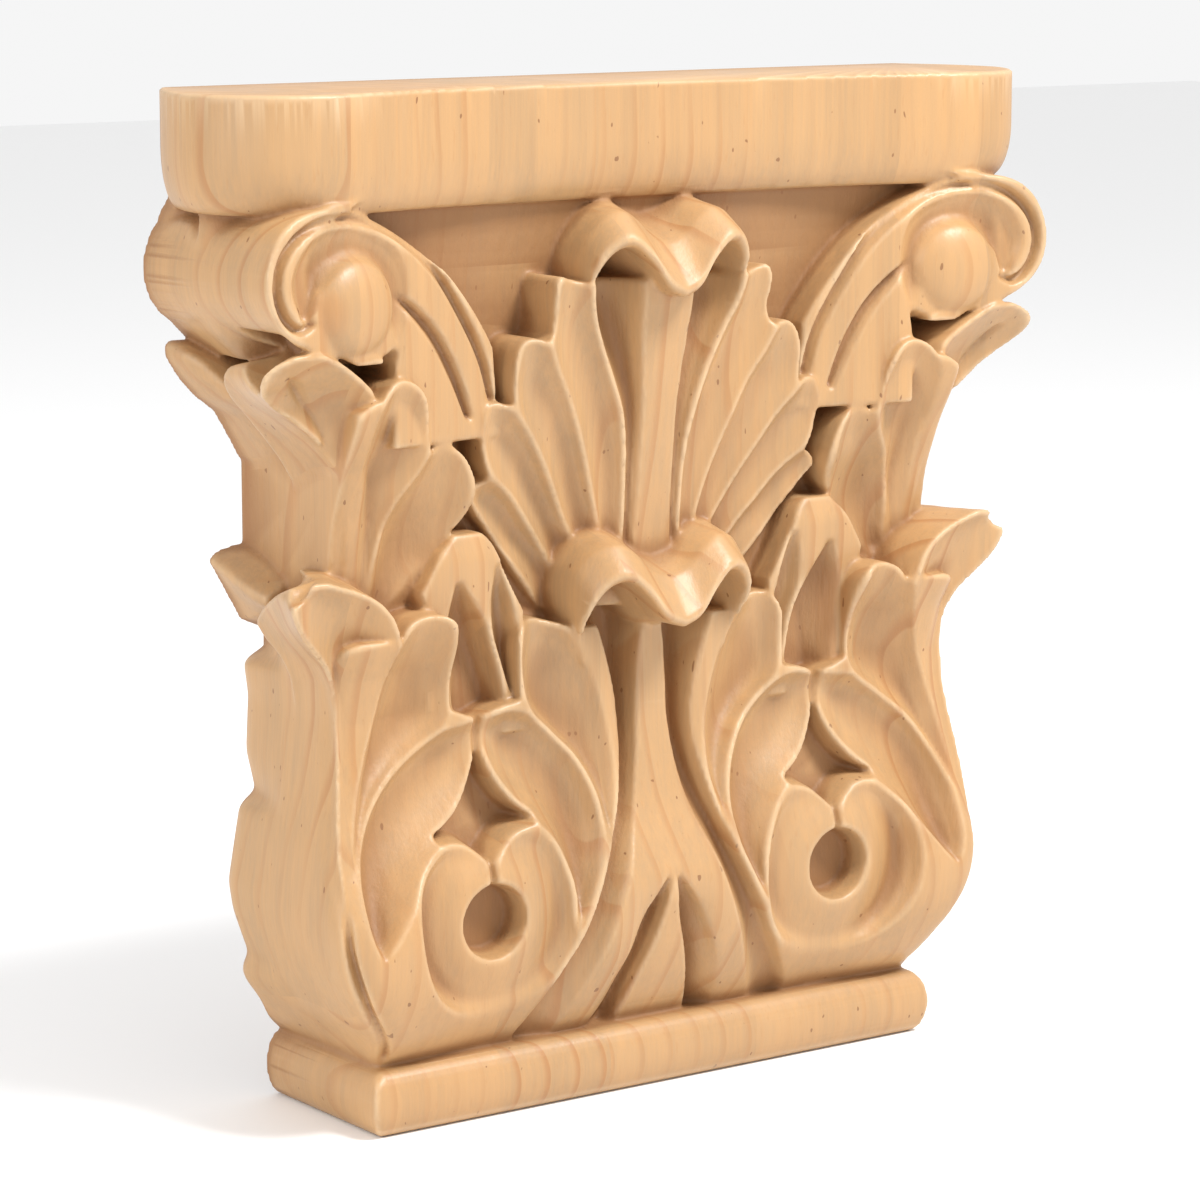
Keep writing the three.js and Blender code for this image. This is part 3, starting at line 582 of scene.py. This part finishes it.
# ---------- volutes ----------
VOLUTE_OUTLINE = [
    [48, 178], [50, 201], [56, 211.5, 66, 221.5], [77, 231, 91, 236.6], [98, 239, 106, 239.2],
    [122, 239, 124.8, 224], [126, 212, 115, 206.5], [108, 203, 100, 202.4],
    [92, 201.6, 88, 201.5], [84, 199], [84, 178],
]
VOLUTE_CUTS = [
    # line inside the rim; it turns back under the ball
    dict(path=[[50.5, 186], [54, 198], [60.5, 209.5], [69.5, 221.5], [80.5, 230.3], [92, 235],
               [103.5, 236.3], [113, 233.8], [119.5, 228], [121.5, 220.5], [119, 213.5],
               [114.6, 210.4], [110.6, 211.4]],
         half=[1, 1.5, 1.6, 1.6, 1.6, 1.6, 1.6, 1.6, 1.6, 1.6, 1.5, 1.3, 0.8], depth=3.4,
         lean=-0.3),
    dict(path=[[83.8, 216.8], [77.5, 212.3], [70, 204.8], [63.5, 194.5], [58.8, 184]],
         half=[0.6, 1.6, 2, 1.9, 1.2], depth=3.2, lean=0.3),
    # hollow round the ball
    dict(path=[[83, 204], [83, 215], [87, 225.5], [96.5, 230], [106, 228.3], [112, 221.5],
               [112.4, 214]],
         half=[1, 4, 5.5, 6, 6, 5.5, 2.5], depth=[0.5, 2.6, 3.6, 3.8, 4, 5, 4],
         lean=[0, 0.3, 0.3, 0.3, 0.3, 0.2, 0]),
    dict(path=[[84, 202], [88, 196.5], [92, 190]], half=[1.5, 4.5, 2], depth=[3, 11, 5]),
]
BALL_X, BALL_Z = 96.2, 214.2
BALL_HALF, BALL_TALL = 12.0, 12.4
BALL_OUT = 5.6
BALL_SUNK = 1.6
# height, then the outward offset of the front corner and of the flank there
WAIST = [
    (200, -26, -12), (204, -18, -8), (207, -10, -5), (212, -4.5, -2), (218, -1, 0), (224, 0, 0),
    (231, -3, 0), (236, -8, -2), (239, -14, -4), (240.5, -19, -7),
]
SIDE_VOLUTE_CUTS = [
    # groove inside the side rim
    dict(path=[[6, 208], [3, 218], [3.5, 228], [8, 234.5], [14, 236.5], [20, 235.5], [24.5, 231]],
         half=[0.8, 1.4, 1.5, 1.8, 2.2, 1.8, 0.8], depth=[1, 1.4, 1.8, 2.4, 3.4, 3, 1.5],
         lean=0.2),
    # comma-shaped eye
    dict(path=[[14.5, 225.5], [18, 226.5], [21.5, 223.5], [24.5, 218], [27, 211]],
         half=[1.8, 3.2, 3.4, 2.6, 0.6], depth=[4, 8, 8, 5, 1]),
]


def volute_block():
    """Rings of the corner mass that carries both volutes, waisted between them."""
    rings = []
    table = np.array(WAIST, float)
    for z in np.linspace(table[0, 0], table[-1, 0], 56):
        front = np.interp(z, table[:, 0], table[:, 1])
        flank = np.interp(z, table[:, 0], table[:, 2])
        edge = spline([
            [121.5 + flank, 0], [122.5 + flank, 16], [123.5 + flank, 28],
            [120 + (front + 2 * flank) / 3, 37], [118.5 + (front + flank) / 2, 44],
            [120 + front, 51], [123 + front, 57],
        ], np.linspace(0, 1, 37))
        inner = [[112 + front, 56, z], [90, 42, z], [60, 38, z]]
        rings.append([[60, 0, z]] + [[a, b, z] for a, b in edge] + inner)
    return rings


def volute():
    h = VOLUTE.copy()
    for cut in VOLUTE_CUTS:
        hollow(h, VOLUTE, cut, X2, Z2, XS, ZS)
    ball = np.hypot((X2 - BALL_X) / BALL_HALF, (Z2 - BALL_Z) / BALL_TALL)
    dome = BALL_OUT * np.sqrt(np.maximum(1 - ball**2, 0)) - 12 * np.maximum(ball - 1, 0)
    h = soft_max(h, VOLUTE - BALL_SUNK + dome, 0.4)
    win, field = front_form(h, VOLUTE_OUTLINE, 44, 130, 174, 245)
    block_win, block = loft_field(volute_block())
    # the side volute is cut in the height of the flank
    flank = np.zeros(D2.shape)
    for cut in SIDE_VOLUTE_CUTS:
        hollow(flank, np.zeros(D2.shape), cut, D2, ZD2, DS, ZS)
    low = flank[block_win[1], block_win[2]]
    skin = np.clip((XS[block_win[0]][:, None, None] - 112) / 6, 0, 1)
    join(block_win, block - low[None] * skin)
    join(win, field)


# ---------- corner leaves and the forms of the sides ----------
# columns: height, front rim x and depth, sag of the face, corner x and depth,
# rear of the side face x and depth, its sag, x of the leaf's hidden inner edge
LOWER_LEAF = [
    (62, 99.4, 58.4, 0.4, 102.6, 58.8, 103, 36, 0.5, 85),
    (75, 98.4, 55, 0.8, 102.6, 55.2, 102.4, 34, 0.8, 85),
    (84, 96.6, 53, 1.2, 101.7, 53.3, 101.4, 33, 1, 84),
    (92, 94.8, 51.8, 1.8, 100.6, 51.8, 100.4, 32, 1.2, 83),
    (100, 92.1, 50.8, 2.5, 99.9, 50.6, 99.8, 31.5, 1.4, 82),
    (110, 88.9, 50.8, 3.4, 99.6, 49.8, 99.8, 30.5, 1.5, 80),
    (118, 87, 52, 4.2, 100.6, 50.2, 100.8, 29.5, 1.5, 79),
    (124, 85.2, 54.5, 5, 103.6, 51.8, 102.8, 27.5, 1.5, 78),
    (128, 83.7, 56.5, 5.4, 107.6, 53.4, 104.8, 24, 1.5, 78),
    (132, 84.6, 57.2, 5.2, 111.6, 55, 106.2, 21.5, 1.5, 80),
    (136, 86.2, 57.2, 4.6, 114.6, 56.2, 108, 27, 1.2, 82.5),
    (140, 89.9, 57.2, 3.6, 116.3, 56.6, 111, 36, 1, 85.5),
    (143, 95, 57.2, 2.4, 116.4, 56.4, 113.5, 44, 0.6, 89),
    (145.3, 102, 57.2, 1, 113.5, 56.6, 112.5, 50, 0.3, 93),
    (146.7, 106, 57, 0.3, 110, 56.8, 109.5, 52, 0.2, 97),
]
UPPER_LEAF = [
    (138, 88, 41, 0, 92, 42, 92, 28, 0, 80),
    (150, 90, 43.8, 0.3, 93, 44, 93.5, 27.5, 0.4, 80),
    (160, 90.3, 46.2, 0.8, 93.6, 46.5, 95, 27.5, 0.6, 80),
    (167, 90.5, 48.5, 1.3, 95, 48, 97.5, 27, 0.8, 80),
    (174, 91.2, 50.8, 2, 98, 49.2, 101, 25.5, 1, 80),
    (180, 92, 53.2, 2.8, 103, 50.2, 105, 24, 1.2, 81),
    (186, 92.2, 55.3, 3.8, 110.5, 50.8, 110, 23.5, 1.4, 82),
    (190.5, 90.8, 57, 4.2, 118, 51.5, 114.5, 24.5, 1.5, 84),
    (194, 92.5, 57.4, 4, 122.5, 54, 117.5, 26.5, 1.4, 86),
    (197, 96, 58.2, 3.2, 124.3, 56.5, 119.5, 29.5, 1.2, 90),
    (199.8, 100, 59.2, 2.2, 124, 57.5, 120, 34, 1, 95),
    (202, 103.5, 60, 1.2, 121, 58.5, 118.5, 45, 0.5, 100),
    (204, 108, 60.4, 0.3, 115.5, 60, 114, 52, 0.2, 104),
]
LEAF_CUTS = [
    # notches that part the front rim from the side lobes
    dict(path=[[133, 48.5, 200], [121, 48, 201.5], [106, 46, 205]], half=[9, 8, 5],
         depth=[7, 7, 3], facing=UP),
    dict(path=[[124, 55.5, 143.5], [115, 54, 144.5], [106, 50, 147.5]], half=[3, 3, 2],
         depth=[3.4, 3.4, 1], facing=UP),
    # crease down the face of the upper leaf
    dict(path=[[116, 58.5, 199], [112.4, 54.5, 195.5], [108.8, 53, 191.5], [104.7, 52, 187],
               [101.4, 51, 181], [99, 50, 175], [97.5, 48.5, 168]],
         half=[0.8, 1.6, 1.9, 1.9, 1.7, 1.3, 0.8], depth=[1.5, 3.2, 4, 4, 3.4, 2.4, 0.8],
         facing=FRONT),
]
CORNER_SLIT = dict(path=[[105, 57, 80], [104.5, 59.5, 66], [103, 60.5, 52], [98.5, 60.5, 38],
                         [92, 57, 27], [87, 50, 19]],
                   half=1.5, depth=[1, 3, 4, 4, 4, 3], facing=CORNER)
# depth; height of the crown; rim x, height; foot x, height
SIDE_ROLL = [
    (0, 149.5, 107, 145.6, 98, 129), (8, 148.8, 106.5, 143, 98.5, 130.5),
    (16, 146.5, 105.5, 140, 100, 133), (23, 143, 103.5, 137.5, 101, 135),
]
# height, how far it stands out at the back, how far forward it reaches
SIDE_LEAF = [
    (158, 90.5, 25), (165, 92, 24.5), (171, 97.5, 24), (179, 102, 23.5), (184, 105, 22.5),
    (188.5, 111, 21), (194, 115.9, 17.5), (199, 119, 12.5), (201.5, 119.4, 8), (203, 118, 4),
]


def corner_leaf(rows, count=60):
    """Rings of a leaf that wraps the corner: front rim, hollow face, corner, side face."""
    rings = []
    t = np.linspace(0, 1, 13)
    heights = np.linspace(rows[0][0], rows[-1][0], count)
    table = np.array(rows, float)
    for z in heights:
        columns = [np.interp(z, table[:, 0], table[:, k]) for k in range(1, 10)]
        xl, dl, sag, xc, dc, xr, dr, side_sag, inner = columns
        bow = 4 * t * (1 - t)
        face = [[xl + (xc - xl) * a, dl + (dc - dl) * a - sag * b, z] for a, b in zip(t, bow)]
        side = [[xc + (xr - xc) * a - side_sag * b, dc + (dr - dc) * a, z] for a, b in zip(t, bow)]
        rings.append(face + side[1:] + [[xr - 7, dr - 4, z], [inner + 4, 28, z], [inner, 38, z]])
    return rings


def side_leaf():
    """Rings of the upper leaf in the middle of the side, leaning out at its top."""
    rings = []
    table = np.array(SIDE_LEAF, float)
    for z in np.linspace(table[0, 0], table[-1, 0], 40):
        out = np.interp(z, table[:, 0], table[:, 1])
        far = np.interp(z, table[:, 0], table[:, 2])
        rings.append([[80, -2, z], [out, -2, z], [out, 0.3 * far, z], [out - 0.6, 0.6 * far, z],
                      [out - 1.6, 0.85 * far, z], [out - 3, far, z], [out - 9, far + 1, z], [80, far, z]])
    return rings


def side_roll():
    """Rings of the lower leaf in the middle of the side, rolled over at its tip."""
    rings = []
    for row in spline(SIDE_ROLL, np.linspace(0, 1, 20)):
        y, crown, out, rim, under, low = row
        section = spline([
            [95, crown], [out - 3, rim + 2.4], [out, rim], [out - 1.5, rim - 3], [under, low],
        ], np.linspace(0, 1, 17))
        rings.append([[80, y, crown - 2]] + [[a, y, b] for a, b in section] + [[80, y, low - 8]])
    return rings


# ---------- joining it all ----------
for rings in (bar(), bell(), abacus()):
    join(*loft_field(rings))
scroll_group()
relief(SHADE, SHADE_OUTLINE, SHADE_CUTS, 38, 74, 98, 158)
relief(FAN, FAN_OUTLINE, FAN_CUTS, -3, 62, 126, 222)
relief(LOBE, LOBE_OUTLINE, LOBE_CUTS, 50, 100, 128, 200)
volute()
for rings in (corner_leaf(LOWER_LEAF), corner_leaf(UPPER_LEAF), side_leaf(), side_roll()):
    join(*loft_field(rings))
for cut in (*LEAF_CUTS, CORNER_SLIT):
    cut_away(*loft_field(tube_cut(cut)))
for shape in (LOWER_CURL, UPPER_CURL):
    join(*loft_field(curl(shape)))

F = np.maximum(F, -DS[None, :, None])
F = np.maximum(F, -ZS[None, None, :])
F = np.maximum(F, ZS[None, None, :] - HEIGHT)
F = np.clip(F, -FAR, FAR)


def eased(a, passes):
    """The array smoothed along its three axes by repeated 1-2-1 averaging."""
    for _ in range(passes):
        for axis in range(3):
            b = np.swapaxes(a, 0, axis)
            c = b.copy()
            c[1:-1] = (b[:-2] + 2 * b[1:-1] + b[2:]) / 4
            a = np.swapaxes(c, 0, axis)
    return a


whole = np.concatenate([F[PAD + 1:][::-1], F[PAD:]], axis=0)
middle = NX - PAD - 1
sanded = eased(whole, 1)
# flat faces stay exact where the easing would round them
plain = (DS < 3)[None, :, None] | (ZS > HEIGHT - 3)[None, None, :] | (ZS < 3)[None, None, :]
sanded = np.where(plain, whole, sanded)

grid = vdb.FloatGrid()
grid.copyFromArray(np.ascontiguousarray(sanded))
points, _, quads = grid.convertToPolygons(isovalue=0.0, adaptivity=0.0)

mesh = bpy.data.meshes.new("capital_carving")
points = np.asarray(points, float)
place = np.empty_like(points)
place[:, 0] = (points[:, 0] - middle) * STEP / 1000
place[:, 1] = (BACK - (points[:, 1] - PAD) * STEP) / 1000
place[:, 2] = (points[:, 2] - PAD) * STEP / 1000
place = np.clip(place, np.array(cad_low), np.array(cad_high))
faces = np.asarray(quads, np.int64)
mesh.vertices.add(len(place))
mesh.vertices.foreach_set("co", place.astype(np.float32).ravel())
mesh.loops.add(faces.size)
mesh.polygons.add(len(faces))
mesh.polygons.foreach_set("loop_start", np.arange(0, faces.size, 4, dtype=np.int32))
mesh.loops.foreach_set("vertex_index", faces.astype(np.int32).ravel())
mesh.update(calc_edges=True)
mesh.validate()

piece = bpy.data.objects.new("carved_capital", mesh)
bpy.context.scene.collection.objects.link(piece)

bm = bmesh.new()
bm.from_mesh(mesh)
if bm.calc_volume(signed=True) < 0:
    bmesh.ops.reverse_faces(bm, faces=bm.faces)
bm.to_mesh(mesh)
bm.free()

target = FACES
thin = piece.modifiers.new("thin", "DECIMATE")
thin.ratio = min(1.0, target / (2 * len(faces)))
bpy.context.view_layer.objects.active = piece
piece.select_set(True)
bpy.ops.object.modifier_apply(modifier=thin.name)
mesh = piece.data
mesh.polygons.foreach_set("use_smooth", np.ones(len(mesh.polygons), bool))

# ---------- how hollow or proud each point of the surface is ----------
def sample(a, co):
    """Trilinear reading of a grid array at points in grid units."""
    i = np.clip(np.floor(co).astype(int), 0, np.array(a.shape) - 2)
    f = co - i
    total = 0
    for dx in (0, 1):
        for dy in (0, 1):
            for dz in (0, 1):
                weight = (
                    (f[:, 0] if dx else 1 - f[:, 0]) * (f[:, 1] if dy else 1 - f[:, 1])
                    * (f[:, 2] if dz else 1 - f[:, 2])
                )
                total = total + weight * a[i[:, 0] + dx, i[:, 1] + dy, i[:, 2] + dz]
    return total


co = np.empty(len(mesh.vertices) * 3, np.float32)
mesh.vertices.foreach_get("co", co)
co = co.reshape(-1, 3).astype(float)
cells = np.empty_like(co)
cells[:, 0] = np.abs(co[:, 0]) * 1000 / STEP + PAD
cells[:, 1] = (BACK - co[:, 1] * 1000) / STEP + PAD
cells[:, 2] = co[:, 2] * 1000 / STEP + PAD
solid = np.clip(0.5 - F / (1.5 * STEP), 0, 1).astype(np.float32)
solid[:, DS < 0] = 1.0
mirror = solid.copy()
mirror[:PAD] = solid[PAD + 1:2 * PAD + 1][::-1]
near = eased(mirror, int(round(2.0 / STEP**2)))
coarse = mirror[::3, ::3, ::3]
wide = eased(np.ascontiguousarray(coarse), int(round(10 / (3 * STEP) ** 2 * 4)))
edge = sample(near, cells)
deep = sample(wide, cells / 3)
for name, values in (("edge", edge), ("deep", deep)):
    attribute = mesh.attributes.new(name, "FLOAT", "POINT")
    attribute.data.foreach_set("value", values.astype(np.float32))

# ---------- maple ----------
material = bpy.data.materials.new("carved_maple")
material.use_nodes = True
tree = material.node_tree
tree.nodes.clear()


def node(kind, inputs=None, **settings):
    n = tree.nodes.new(kind)
    for key, value in settings.items():
        setattr(n, key, value)
    for key, value in (inputs or {}).items():
        if isinstance(value, bpy.types.NodeSocket):
            tree.links.new(value, n.inputs[key])
        else:
            n.inputs[key].default_value = value
    return n


def calc(operation, a, b=None, c=None):
    n = node("ShaderNodeMath", operation=operation)
    for k, value in enumerate((a, b, c)):
        if value is None:
            continue
        if isinstance(value, bpy.types.NodeSocket):
            tree.links.new(value, n.inputs[k])
        else:
            n.inputs[k].default_value = value
    return n.outputs[0]


def span(value, a, b, c=0.0, d=1.0):
    """Eased reading of a value: c where it is a, d where it is b."""
    ends = {"From Min": a, "From Max": b, "To Min": c, "To Max": d}
    n = node("ShaderNodeMapRange", {"Value": value, **ends}, interpolation_type="SMOOTHSTEP")
    return n.outputs["Result"]


def noise(vector, scale, detail=2.0, rough=0.5):
    settings = {"Vector": vector, "Scale": scale, "Detail": detail, "Roughness": rough}
    return node("ShaderNodeTexNoise", settings).outputs["Fac"]


def stretch(vector, tall):
    """The vector with its height scaled, so that what follows runs along the grain."""
    return node("ShaderNodeMapping", {"Vector": vector, "Scale": (1, 1, tall)}).outputs["Vector"]


def tint(factor, a, b):
    """Colour a blended towards colour b."""
    n = node("ShaderNodeMix", {"Factor": factor}, data_type="RGBA")
    for socket, value in ((n.inputs["A"], a), (n.inputs["B"], b)):
        sockets = [s for s in n.inputs if s.type == "RGBA" and s.name == socket.name]
        for s in sockets:
            if isinstance(value, bpy.types.NodeSocket):
                tree.links.new(value, s)
            else:
                s.default_value = value
    return [o for o in n.outputs if o.type == "RGBA"][0]


here = node("ShaderNodeTexCoord").outputs["Object"]
across_boards = node("ShaderNodeSeparateXYZ", {"Vector": here}).outputs["X"]

# boards glued side by side, each with its own tone and its own run of grain
JOINTS = (-0.098, -0.052, -0.018, 0.031, 0.079, 0.104)
TONES = (0.35, 0.75, 0.2, 0.55, 0.4, 0.8, 0.3)
board = 0.0
tone = TONES[0]
for k, joint in enumerate(JOINTS):
    step = calc("GREATER_THAN", across_boards, joint)
    board = calc("MULTIPLY_ADD", step, 1.0, board)
    tone = calc("MULTIPLY_ADD", step, TONES[k + 1] - TONES[k], tone)
BOARD_SHIFT = {"X": 0.37, "Y": 0.21, "Z": 0.53}
shift = node("ShaderNodeCombineXYZ", {k: calc("MULTIPLY", board, v) for k, v in BOARD_SHIFT.items()})
grain = node("ShaderNodeVectorMath", {0: here, 1: shift.outputs[0]}, operation="ADD").outputs["Vector"]

slow = noise(stretch(grain, 0.35), 9.0, 2.0)
bend = node("ShaderNodeTexNoise", {"Vector": stretch(grain, 0.4), "Scale": 14.0, "Detail": 2.0})
warp = node("ShaderNodeVectorMath", {0: bend.outputs["Color"], 1: (0.5, 0.5, 0.5)}, operation="SUBTRACT")
warped = node("ShaderNodeVectorMath", {0: warp.outputs[0], "Scale": 0.016}, operation="SCALE")
wood = node("ShaderNodeVectorMath", {0: grain, 1: warped.outputs[0]}, operation="ADD").outputs["Vector"]

# growth rings: thin brown lines round a pith that leans away from the block
lean = node("ShaderNodeSeparateXYZ", {"Vector": wood})
px = calc("ADD", lean.outputs["X"], 0.02)
py = calc("MULTIPLY_ADD", lean.outputs["Z"], 0.06, calc("SUBTRACT", lean.outputs["Y"], 0.13))
radius = calc("SQRT", calc("ADD", calc("MULTIPLY", px, px), calc("MULTIPLY", py, py)))
ring = calc("FRACT", calc("MULTIPLY", radius, 120.0))
line = calc("MULTIPLY", span(ring, 0.7, 0.94), span(ring, 1.0, 0.96))
strength = span(noise(stretch(grain, 0.5), 16.0, 1.0), 0.38, 0.68, 0.1, 1.0)
line = calc("MULTIPLY", line, strength)

fibre = noise(stretch(grain, 0.035), 900.0, 3.0, 0.65)
streak = noise(stretch(grain, 0.05), 130.0, 3.0, 0.6)
fleck = span(noise(stretch(grain, 0.16), 1100.0, 1.0), 0.62, 0.78)
speck = span(noise(stretch(grain, 0.55), 620.0, 0.0), 0.83, 0.86)
cloud = noise(grain, 26.0, 3.0, 0.6)

HONEY = (0.295, 0.172, 0.078, 1)
CREAM = (0.40, 0.262, 0.138, 1)
color = tint(slow, HONEY, CREAM)
LAYERS = (
    (tone, 0.38, (0.52, 0.285, 0.115, 1)),
    (span(streak, 0.35, 0.7), 0.3, (0.55, 0.31, 0.13, 1)),
    (span(fibre, 0.3, 0.75), 0.34, (0.50, 0.27, 0.105, 1)),
    (line, 0.6, (0.33, 0.14, 0.045, 1)),
    (fleck, 0.2, (0.36, 0.17, 0.06, 1)),
    (speck, 0.7, (0.16, 0.06, 0.02, 1)),
)
for mask, share, shade in LAYERS:
    color = tint(calc("MULTIPLY", mask, share), color, shade)
edge_in = node("ShaderNodeAttribute", attribute_name="edge").outputs["Fac"]
deep_in = node("ShaderNodeAttribute", attribute_name="deep").outputs["Fac"]
# painted highlight: colour lightened on convex ridges and edges, where light would catch them
ridge_highlight = span(edge_in, 0.47, 0.33)
# painted shade: colour darkened in narrow creases and small hollows, where shade would fall
sunk = span(edge_in, 0.52, 0.68)
# painted shade: colour darkened deep in pockets and recesses, in place of occlusion shading
pocket = span(deep_in, 0.5, 0.72)
# painted shade in pockets and creases and painted highlight on ridges, blended into the wood colour
PAINTED_SHADE_AND_HIGHLIGHT = (
    (pocket, 0.72, (0.24, 0.105, 0.035, 1)),
    (sunk, 0.6, (0.20, 0.085, 0.028, 1)),
    (ridge_highlight, 0.4, (0.66, 0.50, 0.32, 1)),
)
for mask, share, shade in PAINTED_SHADE_AND_HIGHLIGHT:
    color = tint(calc("MULTIPLY", mask, share), color, shade)

shader = node("ShaderNodeBsdfPrincipled")
tree.links.new(color, shader.inputs["Base Color"])
rough = span(cloud, 0.3, 0.7, 0.38, 0.5)
rough = calc("ADD", rough, calc("MULTIPLY", pocket, 0.2))
tree.links.new(rough, shader.inputs["Roughness"])
shader.inputs["Specular IOR Level"].default_value = 0.45
chatter = noise(stretch(grain, 0.5), 420.0, 3.0, 0.6)
in_hollows = calc("MULTIPLY", chatter, span(deep_in, 0.5, 0.62))
texture = calc("ADD", calc("MULTIPLY", fibre, 0.35), in_hollows)
bump = node("ShaderNodeBump", {"Height": texture, "Strength": 0.5, "Distance": 0.0005})
tree.links.new(bump.outputs["Normal"], shader.inputs["Normal"])
out = node("ShaderNodeOutputMaterial")
tree.links.new(shader.outputs["BSDF"], out.inputs["Surface"])
mesh.materials.append(material)

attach(piece, "root")
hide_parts("capital")

# ---------- floor, light and camera ----------
MIDDLE = (0, 0, 0.14)
bpy.ops.mesh.primitive_plane_add(size=8, location=(0, 0, 0))
floor = bpy.context.object
floor.name = "floor"
paper = bpy.data.materials.new("floor_white")
paper.use_nodes = True
paper.node_tree.nodes["Principled BSDF"].inputs["Base Color"].default_value = (0.9, 0.9, 0.9, 1)
paper.node_tree.nodes["Principled BSDF"].inputs["Roughness"].default_value = 0.7
floor.data.materials.append(paper)

bpy.context.scene.view_settings.view_transform = "Standard"
world = bpy.data.worlds.new("studio")
bpy.context.scene.world = world
world.use_nodes = True
world.node_tree.nodes["Background"].inputs["Color"].default_value = (1, 1, 1, 1)
world.node_tree.nodes["Background"].inputs["Strength"].default_value = 0.92


def lamp(name, place, size, power):
    """A square white lamp aimed at the middle of the carving."""
    data = bpy.data.lights.new(name, "AREA")
    data.size = size
    data.energy = power
    lamp_object = bpy.data.objects.new(name, data)
    lamp_object.location = place
    lamp_object.rotation_euler = (Vector(MIDDLE) - Vector(place)).to_track_quat("-Z", "Y").to_euler()
    bpy.context.scene.collection.objects.link(lamp_object)


lamp("key", (0.35, -0.75, 1.25), 0.35, 24)
lamp("side", (-1.3, -0.15, 0.6), 0.8, 8)

camera_data = bpy.data.cameras.new("camera")
camera_data.lens = 127.26
camera_data.sensor_width = 36
camera = bpy.data.objects.new("camera", camera_data)
yaw, pitch = math.radians(35.561), math.radians(9.708)
camera.location = (-0.65322, -0.93795 + cad_high.y, 0.31975)
aim = Vector((math.sin(yaw) * math.cos(pitch), math.cos(yaw) * math.cos(pitch), -math.sin(pitch)))
camera.rotation_euler = aim.to_track_quat("-Z", "Y").to_euler()
bpy.context.scene.collection.objects.link(camera)
bpy.context.scene.camera = camera
